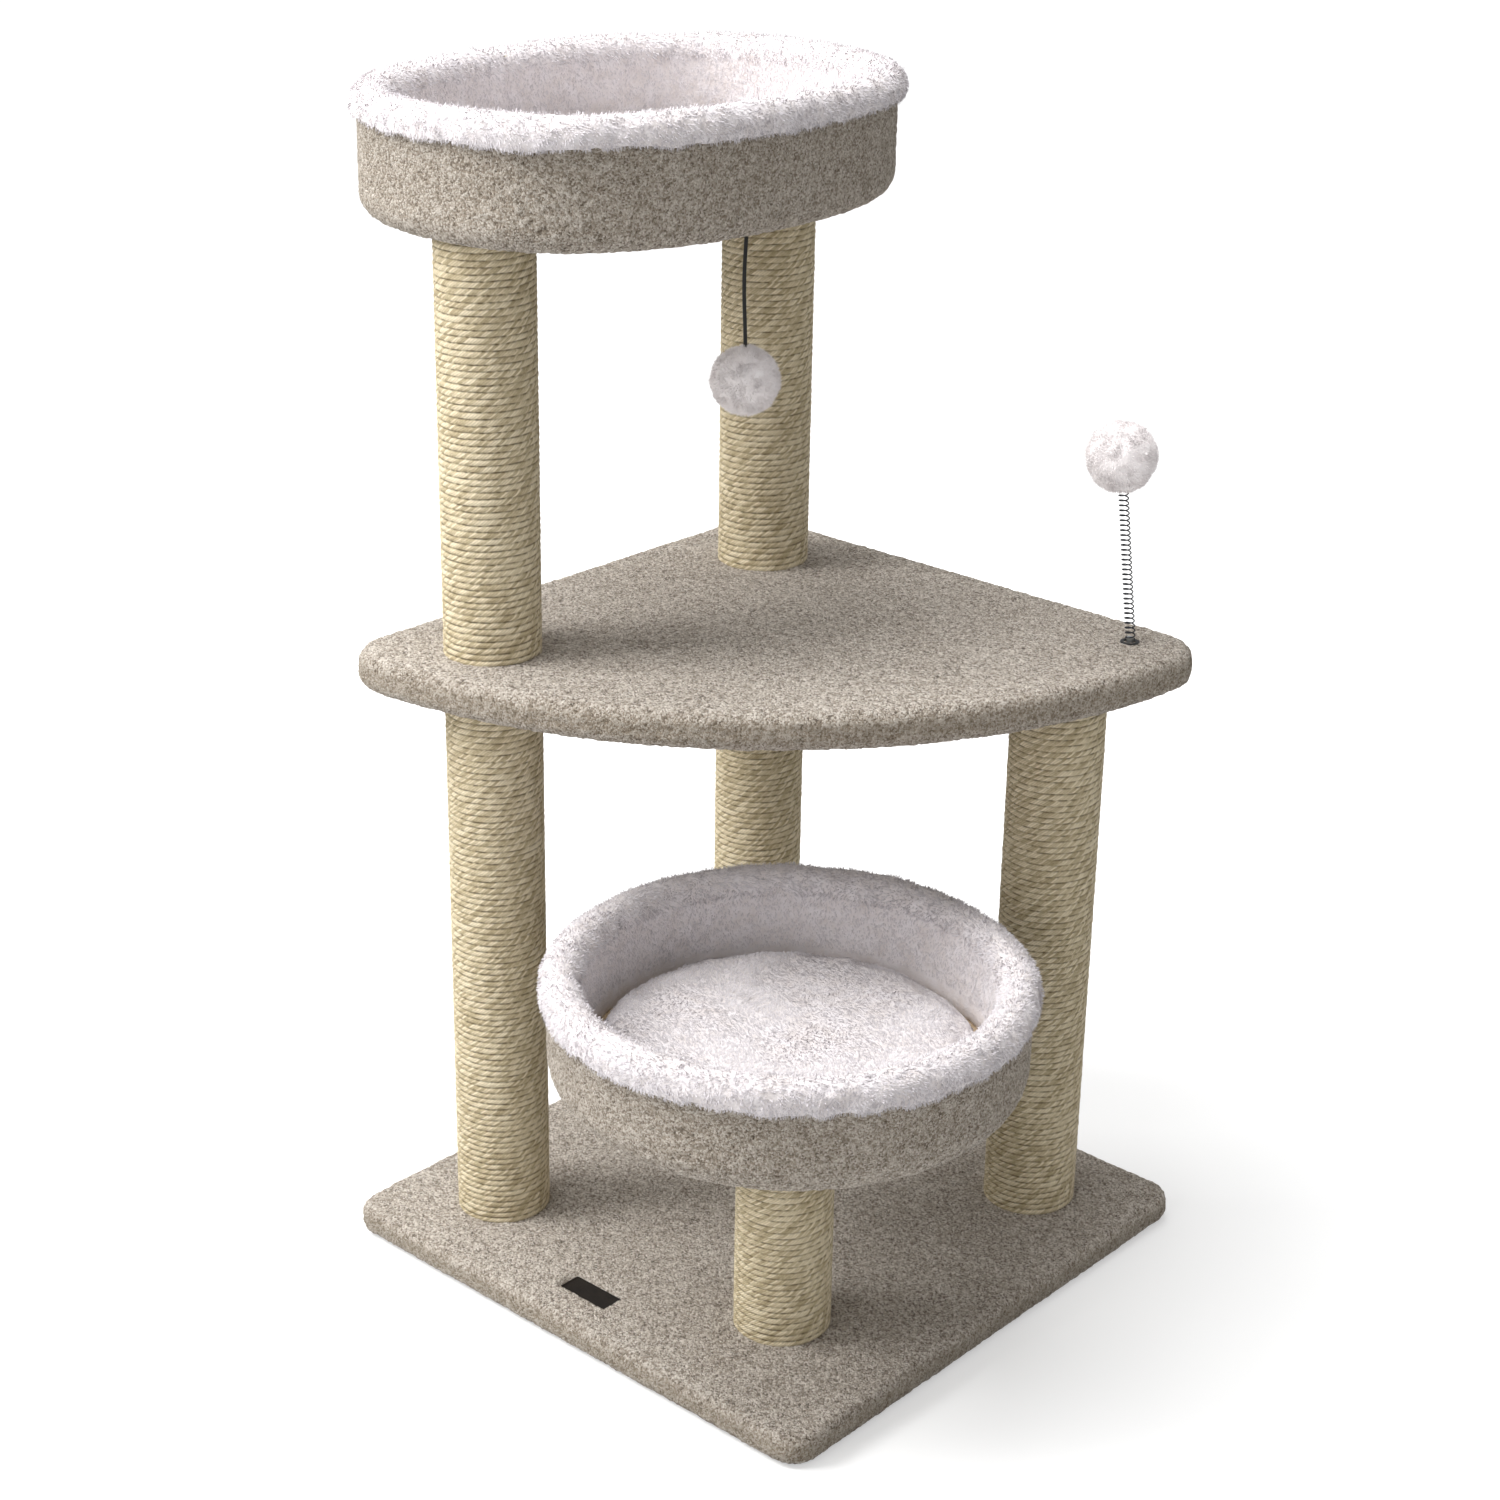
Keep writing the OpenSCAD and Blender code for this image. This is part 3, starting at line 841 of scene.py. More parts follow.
def pile_grain(bench: Bench, given: object) -> dict[str, Socket]:
    """Tufts of a pile: cells with a tone each, and broad mottling.

    A tuft is one cell of a warped cell pattern. Its tone is the cell's random
    number, and its height falls from its middle to its edge.

    Args:
        bench: The group's nodes.
        given: The group's inputs.

    Returns:
        Fleck, Mottle and Height.
    """
    scale = bench.math("DIVIDE", 1.0, given["Size"])
    wide = bench.math("DIVIDE", 1.0, given["Mottle Size"])
    warp = bench.put("ShaderNodeTexNoise", Vector=given["Vector"],
                     Scale=scale, Detail=1.0).outputs["Color"]
    small = bench.put("ShaderNodeVectorMath", {"operation": "SCALE"},
                      Vector=warp)
    bench.fill(small.inputs["Scale"], bench.math(
        "MULTIPLY", given["Size"], 0.9))
    moved = bench.put("ShaderNodeVectorMath", {"operation": "ADD"})
    bench.fill(moved.inputs[0], given["Vector"])
    bench.fill(moved.inputs[1], small.outputs[0])
    cell = bench.cells(moved.outputs[0], scale)
    split = bench.put("ShaderNodeSeparateColor", Color=cell.outputs["Color"])
    mottle = bench.noise(given["Vector"], wide, 3.0, 0.6)
    fine = bench.noise(given["Vector"], bench.math("MULTIPLY", scale, 2.2),
                       2.0, 0.6)
    height = bench.math("SUBTRACT", bench.math("MULTIPLY", fine, 0.7),
                        bench.math("MULTIPLY", cell.outputs["Distance"], 0.9))
    return {"Fleck": split.outputs[0], "Mottle": mottle, "Height": height}


def strand_twist(bench: Bench, given: object) -> dict[str, Socket]:
    """Strands that wind round a rope, from its length and height.

    The distance along the rope plus the slant times the distance across it,
    over a strand's width, runs through one sawtooth for each strand. The
    ridge is the arch of that sawtooth, and fibres are noise stretched along
    the same slant.

    Args:
        bench: The group's nodes.
        given: The group's inputs.

    Returns:
        Ridge, Fibre and Shade.
    """
    part = bench.put("ShaderNodeSeparateXYZ", Vector=given["Vector"])
    u, v = part.outputs[0], part.outputs[1]
    wander = bench.noise(given["Vector"], 90.0, 2.0)
    lead = bench.math("MULTIPLY_ADD", v, given["Slant"], u)
    lead = bench.math("MULTIPLY_ADD", wander, 0.004, lead)
    phase = bench.math("FRACT", bench.math("DIVIDE", lead, given["Strand"]))
    arch = bench.math("MULTIPLY", phase, bench.math("SUBTRACT", 1.0, phase))
    ridge = bench.math("POWER", bench.math("MULTIPLY", arch, 4.0), 0.55)
    number = bench.math("FLOOR", bench.math("DIVIDE", lead, given["Strand"]))
    shade = bench.put("ShaderNodeTexWhiteNoise",
                      {"noise_dimensions": "1D"}, W=number).outputs["Value"]
    onward = bench.math("SUBTRACT", v,
                        bench.math("MULTIPLY", u, given["Slant"]))
    grain = bench.put("ShaderNodeCombineXYZ", X=lead,
                      Y=bench.math("MULTIPLY", onward, 0.12))
    fibre = bench.noise(grain.outputs[0], 1500.0, 3.0, 0.65)
    return {"Ridge": ridge, "Fibre": fibre, "Shade": shade}


def handling_marks(bench: Bench, given: object) -> dict[str, Socket]:
    """Cloudy marks and fine scuffs of use, from noise at two scales.

    Args:
        bench: The group's nodes.
        given: The group's inputs.

    Returns:
        Mask and Scuff.
    """
    scale = bench.math("DIVIDE", 1.0, given["Size"])
    cloud = bench.noise(given["Vector"], scale, 4.0, 0.6)
    fine = bench.noise(given["Vector"], bench.math("MULTIPLY", scale, 14.0),
                       3.0, 0.7)
    return {"Mask": bench.span(cloud, 0.35, 0.7),
            "Scuff": bench.span(fine, 0.45, 0.75)}


def pressed_chips(bench: Bench, given: object) -> dict[str, Socket]:
    """Flat chips pressed together, from the cells of a cell pattern.

    A chip's tone is its cell's random number, and its height grows from its
    middle to its edge.

    Args:
        bench: The group's nodes.
        given: The group's inputs.

    Returns:
        Chip and Height.
    """
    scale = bench.math("DIVIDE", 1.0, given["Size"])
    cell = bench.cells(given["Vector"], scale)
    split = bench.put("ShaderNodeSeparateColor", Color=cell.outputs["Color"])
    return {"Chip": split.outputs[0], "Height": cell.outputs["Distance"]}


@dataclass(frozen=True)
class Finish:
    """A material made of nodes, with the record's slot that it stands for."""

    name: str
    slot: str

    def shader(self, bench: Bench) -> dict[str, object]:
        """The inputs of the material's one surface shader."""
        raise NotImplementedError

    def material(self) -> bpy.types.Material:
        """The material, built when first asked for.

        Returns:
            The material.
        """
        known = bpy.data.materials.get(self.name)
        if known is not None:
            return known
        made = bpy.data.materials.new(self.name)
        made.use_nodes = True
        bench = Bench(made.node_tree)
        surface = made.node_tree.nodes["Principled BSDF"]
        for key, value in self.shader(bench).items():
            bench.fill(surface.inputs[key], value)
        return made

    def dress(self, piece: bpy.types.Object) -> None:
        """Gives the piece this material and nothing else."""
        piece.data.materials.clear()
        piece.data.materials.append(self.material())


@dataclass(frozen=True)
class Carpet(Finish):
    """Cut pile in mixed yarns, with painted shade: browner in its dips, darker
    tan on its sides.
    """

    pale: str = "#ece4da"
    sand: str = "#b4a798"
    brown: str = "#5c5044"
    # darker tan of the painted shade on the upright sides
    side_shade: str = "#8e7d60"

    def shader(self, bench: Bench) -> dict[str, object]:
        """Tuft tones from the mesh and from cells, with painted shade: browner
        on the pile's low points, darker tan on the upright sides.

        Args:
            bench: Nodes of the material.

        Returns:
            Inputs of the surface shader.
        """
        grain = bench.effect(Effect.PILE, Vector=bench.place(),
                             Size=0.0015, Mottle_Size=0.009)
        # the tuft value follows the pile's height, so low points turn browner:
        # painted shade in the dips, over random yarn tones from the cells
        tuft = bench.value_of("tuft")
        yarn = bench.math("MULTIPLY_ADD", grain.outputs["Fleck"], 0.6,
                          bench.math("MULTIPLY", tuft, 0.4))
        yarn = bench.math("MULTIPLY_ADD", grain.outputs["Mottle"], 0.3,
                          bench.math("SUBTRACT", yarn, 0.15))
        colour = bench.ramp(yarn, [(0.08, tone(self.brown)),
                                   (0.42, tone(self.sand)),
                                   (0.82, tone(self.pale))])
        # painted shade: upright sides are mixed towards a darker tan
        side = bench.math("MULTIPLY", bench.value_of("side_shade"), 0.62)
        colour = bench.mix(side, colour, bench.mix(
            0.62, colour, tone(self.side_shade)))
        normal = bench.bump(grain.outputs["Height"], 0.0026, 1.0)
        return {"Base Color": colour, "Roughness": 0.95, "Normal": normal,
                "Specular IOR Level": 0.15, "Sheen Weight": 0.12,
                "Sheen Roughness": 0.6}


@dataclass(frozen=True)
class Sisal(Finish):
    """Pale straw rope with slanting strands, with painted shade darkening the
    gaps between strands and rows.
    """

    straw: str = "#d0c1a0"
    light: str = "#eee2c6"
    dark: str = "#8b7954"
    # dark colour of the painted shade between strands and rows
    gap_shade: str = "#4e412b"

    def shader(self, bench: Bench) -> dict[str, object]:
        """Strand tones along the winding, and painted shade between its
        strands and rows.

        Args:
            bench: Nodes of the material.

        Returns:
            Inputs of the surface shader.
        """
        uv = bench.put("ShaderNodeUVMap", {"uv_map": "winding"}).outputs[0]
        twist = bench.effect(Effect.STRANDS, Vector=uv, Strand=0.0032,
                             Slant=-1.3)
        out = twist.outputs
        tint = bench.math("MULTIPLY_ADD", out["Shade"], 0.4,
                          bench.math("MULTIPLY", out["Fibre"], 0.75))
        colour = bench.ramp(tint, [(0.22, tone(self.dark)),
                                   (0.55, tone(self.straw)),
                                   (0.85, tone(self.light))])
        # painted shade: darker where a strand's ridge is low and, broken by
        # noise, where a row's crown is low
        between = bench.math("MULTIPLY", bench.span(
            out["Ridge"], 0.15, 0.7, 1.0, 0.0), 0.6)
        row = bench.span(bench.value_of("crown"), 0.1, 0.85, 1.0, 0.0)
        broken = bench.span(bench.noise(bench.place(), 210.0, 3.0),
                            0.36, 0.6, 0.15, 0.85)
        deep = bench.math("MAXIMUM", between,
                          bench.math("MULTIPLY", row, broken))
        colour = bench.mix(deep, colour, tone(self.gap_shade))
        height = bench.math("MULTIPLY_ADD", out["Fibre"], 0.35,
                            out["Ridge"])
        return {"Base Color": colour, "Roughness": 0.78,
                "Normal": bench.bump(height, 0.0009, 0.8),
                "Specular IOR Level": 0.3}


@dataclass(frozen=True)
class Plush(Finish):
    """White pile with a faint warm tint, and painted shade in darker, warmer
    clumps laid by noise.
    """

    white: str = "#dfdadc"
    # darker, warmer tones: a faint tint and painted shade in the clumps
    shade: str = "#d8d1d0"
    root: str = "#cbc3c0"

    def shader(self, bench: Bench) -> dict[str, object]:
        """Soft clumps of tone, partly painted shade, fine hairs in the bump.

        Args:
            bench: Nodes of the material.

        Returns:
            Inputs of the surface shader.
        """
        place = bench.place()
        clump = bench.noise(place, 85.0, 3.0, 0.6)
        grain = bench.effect(Effect.PILE, Vector=place, Size=0.0022,
                             Mottle_Size=0.03)
        share = bench.math("MULTIPLY_ADD", clump, 0.7, bench.math(
            "MULTIPLY", grain.outputs["Mottle"], 0.4))
        # darker and warmer where the noise is low: a faint tint and painted
        # shade in clumps
        colour = bench.ramp(share, [(0.25, tone(self.root)),
                                    (0.45, tone(self.shade)),
                                    (0.66, tone(self.white))])
        return {"Base Color": colour, "Roughness": 0.97,
                "Normal": bench.bump(grain.outputs["Height"], 0.001, 0.5),
                "Specular IOR Level": 0.1, "Sheen Weight": 0.25,
                "Sheen Roughness": 0.5}


@dataclass(frozen=True)
class Hair(Finish):
    """Single white hairs, a little darker at the root as painted shade deep in
    the pile.
    """

    tip: str = "#cdc9cd"
    middle: str = "#c9c4c6"
    # darker root colour: painted shade deep in the pile
    root: str = "#bcb5b5"

    def shader(self, bench: Bench) -> dict[str, object]:
        """Tone along each hair, darker at the root as painted shade, and from
        hair to hair at random.

        Args:
            bench: Nodes of the material.

        Returns:
            Inputs of the surface shader.
        """
        at = bench.math("MULTIPLY_ADD", bench.value_of("tone"), 0.35,
                        bench.value_of("tip"))
        cloud = bench.noise(bench.place(), 60.0, 2.0)
        at = bench.math("MULTIPLY_ADD", cloud, 0.3,
                        bench.math("SUBTRACT", at, 0.15))
        # painted shade: low values near the root take the darker root colour
        colour = bench.ramp(at, [(0.0, tone(self.root)),
                                 (0.45, tone(self.middle)),
                                 (0.9, tone(self.tip))])
        return {"Base Color": colour, "Roughness": 0.9,
                "Specular IOR Level": 0.15}


@dataclass(frozen=True)
class Board(Finish):
    """Pressed or sawn wood in chips or grain."""

    light: str
    dark: str
    chip: float
    stretch: tuple[float, float, float] = (1, 1, 1)

    def shader(self, bench: Bench) -> dict[str, object]:
        """A tone for each chip, with fine grain over it.

        Args:
            bench: Nodes of the material.

        Returns:
            Inputs of the surface shader.
        """
        place = bench.place(self.stretch)
        chips = bench.effect(Effect.CHIPS, Vector=place, Size=self.chip)
        fine = bench.noise(place, 0.6 / self.chip, 4.0, 0.7)
        share = bench.math("MULTIPLY_ADD", chips.outputs["Chip"], 0.5,
                           bench.math("MULTIPLY", fine, 0.6))
        colour = bench.ramp(share, [(0.2, tone(self.dark)),
                                    (0.8, tone(self.light))])
        return {"Base Color": colour, "Roughness": bench.span(
                    fine, 0.3, 0.7, 0.7, 0.9),
                "Normal": bench.bump(chips.outputs["Height"], 0.0004, 0.4)}


@dataclass(frozen=True)
class Foam(Finish):
    """Open-celled foam."""

    colour: str = "#dccf9c"
    # darker colour of the painted shade in the pores
    pore_shade: str = "#a08f5c"

    def shader(self, bench: Bench) -> dict[str, object]:
        """Small pores in bump, and darker in tone as painted shade.

        Args:
            bench: Nodes of the material.

        Returns:
            Inputs of the surface shader.
        """
        pores = bench.cells(bench.place(), 700.0).outputs["Distance"]
        # painted shade: darker in the hollows of the pores, where the bump
        # dips
        colour = bench.ramp(pores, [(0.1, tone(self.pore_shade)),
                                    (0.45, tone(self.colour))])
        return {"Base Color": colour, "Roughness": 0.95,
                "Normal": bench.bump(pores, 0.0008, 0.6)}


@dataclass(frozen=True)
class Felt(Finish):
    """Black cloth of pressed fibres."""

    colour: str = "#26262a"
    thread: str = "#4c4c50"

    def shader(self, bench: Bench) -> dict[str, object]:
        """Fibres from stretched noise and a grid of pressed dots.

        Args:
            bench: Nodes of the material.

        Returns:
            Inputs of the surface shader.
        """
        place = bench.place()
        fibre = bench.noise(place, 900.0, 4.0, 0.7)
        dots = bench.put("ShaderNodeTexVoronoi", Vector=place, Scale=420.0,
                         Randomness=0.15).outputs["Distance"]
        colour = bench.ramp(fibre, [(0.35, tone(self.colour)),
                                    (0.75, tone(self.thread))])
        return {"Base Color": colour, "Roughness": 0.9,
                "Normal": bench.bump(dots, 0.0003, 0.5)}


@dataclass(frozen=True)
class Metal(Finish):
    """Plated or plain metal with marks of handling."""

    colour: str
    worn: str
    rough: tuple[float, float]
    mark: float = 0.01

    def shader(self, bench: Bench) -> dict[str, object]:
        """Tone and roughness follow the handling marks.

        Args:
            bench: Nodes of the material.

        Returns:
            Inputs of the surface shader.
        """
        marks = bench.effect(Effect.HANDLING, Vector=bench.place(),
                             Size=self.mark)
        colour = bench.mix(marks.outputs["Mask"], tone(self.colour),
                           tone(self.worn))
        return {"Base Color": colour, "Metallic": 1.0,
                "Roughness": bench.span(marks.outputs["Scuff"], 0.0, 1.0,
                                        *self.rough),
                "Normal": bench.bump(marks.outputs["Scuff"], 0.00003, 0.3)}


@dataclass(frozen=True)
class Plastic(Finish):
    """Dark satin plastic or lacquer with dust and fine scuffs."""

    colour: str
    dusty: str
    rough: tuple[float, float] = (0.35, 0.55)
    shine: float = 0.5

    def shader(self, bench: Bench) -> dict[str, object]:
        """A little dust in the tone, scuffs in the gloss.

        Args:
            bench: Nodes of the material.

        Returns:
            Inputs of the surface shader.
        """
        marks = bench.effect(Effect.HANDLING, Vector=bench.place(),
                             Size=0.012)
        share = bench.math("MULTIPLY", marks.outputs["Mask"], 0.35)
        colour = bench.mix(share, tone(self.colour), tone(self.dusty))
        return {"Base Color": colour, "Specular IOR Level": self.shine,
                "Roughness": bench.span(marks.outputs["Scuff"], 0.0, 1.0,
                                        *self.rough),
                "Normal": bench.bump(marks.outputs["Scuff"], 0.00003, 0.3)}


@dataclass(frozen=True)
class Braid(Finish):
    """Black elastic cord with a braided cover."""

    thread: str = "#1b1b1d"
    # near-black colour of the painted shade between the threads
    gap_shade: str = "#060606"

    def shader(self, bench: Bench) -> dict[str, object]:
        """Two sets of crossing threads, from place along and across, with
        painted shade between them.

        Args:
            bench: Nodes of the material.

        Returns:
            Inputs of the surface shader.
        """
        part = bench.put("ShaderNodeSeparateXYZ", Vector=bench.place())
        flat = bench.put(
            "ShaderNodeCombineXYZ", Y=part.outputs[2],
            X=bench.math("ADD", part.outputs[0], part.outputs[1]))
        right, left = (bench.effect(Effect.STRANDS, Vector=flat.outputs[0],
                                    Strand=0.0014, Slant=s).outputs["Ridge"]
                       for s in (1.0, -1.0))
        # painted shade: where the threads' ridges are low the colour goes
        # near-black
        weave = bench.math("MULTIPLY", right, left)
        colour = bench.mix(weave, tone(self.gap_shade), tone(self.thread))
        return {"Base Color": colour, "Roughness": 0.6,
                "Normal": bench.bump(weave, 0.0003, 0.7)}


CARPET = Carpet("cut pile carpet", "carpet")
SISAL = Sisal("wound sisal rope", "sisal")
PLUSH = Plush("white plush", "plush")
PLUSH_HAIR = Hair("plush hair", "plush")
# the pompom and sisal hairs are also darker at the root: painted shade
POMPOM_HAIR = Hair("pompom hair", "pompom_fur", tip="#f9f5f5",
                   middle="#f4efef", root="#e4dddd")
SISAL_HAIR = Hair("loose sisal fibre", "sisal", tip="#efe5cd",
                  middle="#d8caab", root="#b3a279")
CHIPBOARD = Board("chipboard", "chipboard", "#c9ab7c", "#8a6a42", 0.004)
PLUG_WOOD = Board("plug wood", "plug_wood", "#cdb07e", "#9a7a4e", 0.003,
                  (1, 1, 0.08))
CARDBOARD = Board("wound cardboard", "cardboard", "#a58560", "#86684a",
                  0.012, (1, 1, 0.3))
FOAM = Foam("soft foam", "foam")
FELT = Felt("closing cloth", "lining_cloth")
LABEL = Plastic("dark label plate", "label", "#120d09", "#2b241d",
                (0.4, 0.6), 0.22)
ZINC = Metal("zinc plating", "zinc_steel", "#c4c8ca", "#a3a8aa",
             (0.28, 0.5))
BRASS = Metal("plain brass", "brass", "#c9a860", "#a5853f", (0.22, 0.42))
SPRING = Metal("dark spring wire", "spring_steel", "#505256", "#34363a",
               (0.25, 0.4), 0.006)
BLACK = Plastic("black plastic", "black_plastic", "#0b0b0c", "#2a2a2c")
CORD = Braid("elastic cord", "elastic_cord")
FINISHES: tuple[Finish, ...] = (
    CARPET, SISAL, PLUSH, POMPOM_HAIR, CHIPBOARD, PLUG_WOOD, CARDBOARD, FOAM,
    FELT, LABEL, ZINC, BRASS, SPRING, BLACK, CORD)


def settle(piece: bpy.types.Object, finish: Finish, body: str,
           *nodes: str) -> bpy.types.Object:
    """Dresses a piece, sets it on its body and hides the nodes that it
    replaces.

    Args:
        piece: The new piece.
        finish: Its material.
        body: Body that it moves with.
        nodes: Nodes that it replaces.

    Returns:
        The same piece.
    """
    finish.dress(piece)
    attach(piece, body)
    if nodes:
        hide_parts(*nodes)
    log.info("%s on %s, %d faces", piece.name, body,
             len(piece.data.polygons))
    return piece


# ---- Shared making of pieces ----

PILE_STEP = 2.5 * MM
HAIR_W = 0.8 * MM


def rim_count(length: float, step: float) -> int:
    """Number of points round a net's rim, a whole multiple of eight."""
    return 8 * max(2, int(round(length / step / 8)))


def rolled_side(low: float, high: float, roll: float) -> Array:
    """A side with a quarter circle rolled in at its foot and at its top.

    Args:
        low: Height of its foot.
        high: Height of its top.
        roll: Radius of both quarter circles.

    Returns:
        Rows of outward place, height, outward part and upward part.
    """
    return np.concatenate([
        arc_profile((-roll, low + roll), roll, -90, 0, PILE_STEP),
        line_profile((0, low + roll), (0, high - roll), 1, 0, PILE_STEP),
        arc_profile((-roll, high - roll), roll, 0, 90, PILE_STEP)[1:]])


def lay_rings(skin: Skin, outline: Outline, profile: Array) -> Array:
    """Adds a profile carried round an outline.

    Args:
        skin: Where the surface goes.
        outline: Closed curve that the profile follows.
        profile: Rows of outward place, height, outward and upward part.

    Returns:
        The point numbers, one row for each row of the profile.
    """
    index = skin.add(outline.rings(-profile[:, 0], profile[:, 1]),
                     outline.ring_normals(profile[:, 2], profile[:, 3]))
    skin.sheet(index, wrap=True)
    return index


def lay_patch(skin: Skin, rim: Array, centre: Array, height: float,
              ring: Array, up: bool) -> Array:
    """Closes a ring with a level net and joins the two.

    Args:
        skin: Where the surface goes.
        rim: The net's edge, seen from above.
        centre: Point that the net shrinks to.
        height: Level of the net.
        ring: Point numbers of the ring beside the net's edge.
        up: Whether the net looks up.

    Returns:
        The net's point numbers.
    """
    xy, where = patch(rim, centre)
    index = skin.add(at_height(xy, height),
                     np.array([0, 0, 1.0 if up else -1.0]))
    skin.sheet(index, flip=up)
    edge = index[where[0], where[1]]
    skin.sheet(np.stack([ring, edge] if up else [edge, ring]), wrap=True)
    return index


def tufted(skin: Skin, name: str, seed: int, side_shade: float,
           height: float = 1.3 * MM) -> bpy.types.Object:
    """Raises each point of a carpet by its own tuft.

    A point moves along its normal by its random number less a half, times the
    pile's unevenness, plus smooth noise of two widths. The tuft value mixes
    the same random number with the narrower noise, so lower points get a
    browner tone: painted shade in the dips. The flank value, painted shade on
    the sides, grows with the sideways part of the normal.

    Args:
        skin: The carpet's surface.
        name: Name of the piece.
        seed: Number of the draw.
        side_shade: How strongly the sides take the painted side shade.
        height: Unevenness of the pile.

    Returns:
        The piece.
    """
    points, normals = skin.all_points(), skin.all_normals()
    own = dice(np.rint(points * 1e5), seed)
    broad = soft_noise(points, 14 * MM, seed + 1)
    clump = soft_noise(points, 5.5 * MM, seed + 2)
    rise = (height * (own - 0.5) + 0.9 * MM * (clump - 0.5)
            + 0.7 * MM * (broad - 0.5))
    # the flank value is painted shade, growing on the upright sides
    side = 1 - np.abs(normals[:, 2])
    # tuft shares own and clump with the rise: lower points are given a browner
    # tone, painted shade
    return skin.build(name, points + normals * rise[:, None], {
        "tuft": 0.62 * own + 0.38 * clump, "side_shade": side_shade * side})


@dataclass
class Span:
    """The box of one node."""

    node: str
    low: Array = field(init=False)
    high: Array = field(init=False)

    def __post_init__(self) -> None:
        """Reads the box from the frame."""
        low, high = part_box(self.node)
        self.low, self.high = np.array(low), np.array(high)

    @property
    def middle(self) -> Array:
        """Middle of the box."""
        return (self.low + self.high) / 2

    @property
    def size(self) -> Array:
        """Sides of the box."""
        return self.high - self.low


# ---- Base ----

@dataclass
class Base:
    """The carpeted square base with its blank plate."""

    corner_r: float = 28 * MM
    roll: float = 10 * MM
    turn_in: float = 40 * MM
    inside_z: float = 12 * MM
    window_gap: float = 0.5 * MM
    plate_round: float = 2.5 * MM
    plate_edge: float = 0.8 * MM
    plate_rim: float = 2.0 * MM
    plate_dip: float = 0.3 * MM
    cloth_t: float = 0.8 * MM
    cloth_hem: float = 8 * MM
    cloth_wave: float = 1.5 * MM

    def carpet(self) -> bpy.types.Object:
        """The carpet over the top, round the sides and in underneath.

        The top is a net inside the rolled edge. The points over the plate
        are pressed down to the board.

        Returns:
            The piece.
        """
        box, plate = Span("base_carpet"), Span("label_plate")
        half = box.size[0] / 2
        outline = Outline.rounded(np.zeros(2), half, self.corner_r,
                                  rim_count(8 * half, PILE_STEP))
        low, high = box.low[2], box.high[2]
        edge = outline.inset(self.roll)
        skin = Skin()
        shares = np.linspace(1 - self.turn_in / half, 1, 6)[:-1]
        flat = shares[:, None, None] * edge[None]
        down = np.array([0, 0, -1.0])
        under = skin.add(at_height(flat, low), down)
        inner = skin.add(at_height(flat[:1], self.inside_z), down)
        rings = lay_rings(skin, outline, rolled_side(low, high,
                                                     self.roll)[:-1])
        skin.sheet(np.concatenate([inner, under, rings[:1]]), wrap=True)
        skin.cap(inner[0], np.array([0, 0, self.inside_z]), flip=True)
        lay_patch(skin, edge, np.zeros(2), high, rings[-1], True)
        points = np.concatenate(skin.points)
        away = np.abs(points[:, :2] - plate.middle[:2]) - plate.size[:2] / 2
        over = (away.max(1) < self.window_gap) & (points[:, 2] > high - MM)
        points[over, 2] = plate.low[2] + 0.2 * MM
        skin.points = [points]
        return settle(tufted(skin, "base_carpet_pile", 11, 1.0), CARPET,
                      "root", "base_carpet")

    def plate(self) -> bpy.types.Object:
        """The blank plate: a rounded slab with a soft edge and raised rim.

        Rings of the plate's outline climb the side, turn over the edge, dip
        a little inside the rim and close on a level net.

        Returns:
            The piece.
        """
        box = Span("label_plate")
        outline = Outline.rounded(box.middle[:2], box.size[:2] / 2,
                                  self.plate_round, 96)
        low, high, e = box.low[2], box.high[2], self.plate_edge
        profile = np.concatenate([
            [[0, low, 1, 0], [0, high - e, 1, 0]],
            arc_profile((-e, high - e), e, 0, 90, 0.3 * MM)[1:],
            [[-self.plate_rim, high, 0, 1],
             [-1.2 * self.plate_rim, high - self.plate_dip, 0, 1]]])
        skin = Skin()
        rings = lay_rings(skin, outline, profile)
        lay_patch(skin, outline.inset(2.5 * MM), box.middle[:2],
                  high - 0.32 * MM, rings[-1], True)
        skin.cap(rings[0], np.array([*box.middle[:2], low]), flip=True)
        return settle(skin.build("blank_plate"), LABEL, "root",
                      "label_plate")

    def cloth(self) -> bpy.types.Object:
        """The closing cloth below: two nets a little apart, in slow waves.

        Returns:
            The piece.
        """
        box = Span("base_lining")
        half = box.size[0] / 2
        outline = Outline.rounded(np.zeros(2), half, self.corner_r,
                                  rim_count(8 * half, self.cloth_hem))
        low = box.low[2] + 0.2 * MM
        high = low + self.cloth_t
        skin = Skin()
        rings = lay_rings(skin, outline, np.array(
            [[0, low, 1, 0], [0, high, 1, 0]]))
        edge = outline.inset(self.cloth_hem)
        lay_patch(skin, edge, np.zeros(2), high, rings[-1], True)
        lay_patch(skin, edge, np.zeros(2), low, rings[0], False)
        points = skin.all_points()
        near = np.clip((half - self.cloth_hem
                        - np.abs(points[:, :2]).max(1)) / (60 * MM), 0, 1)
        wave = soft_noise(points * np.array([1, 1, 0]), 70 * MM, 23)
        points[:, 2] += self.cloth_wave * wave * near
        made = skin.build("base_closing_cloth", points)
        settle(made, FELT, "root", "base_lining")
        return made

    def build(self) -> None:
        """Makes every piece of the base."""
        self.carpet()
        self.plate()
        self.cloth()


# ---- Platform ----

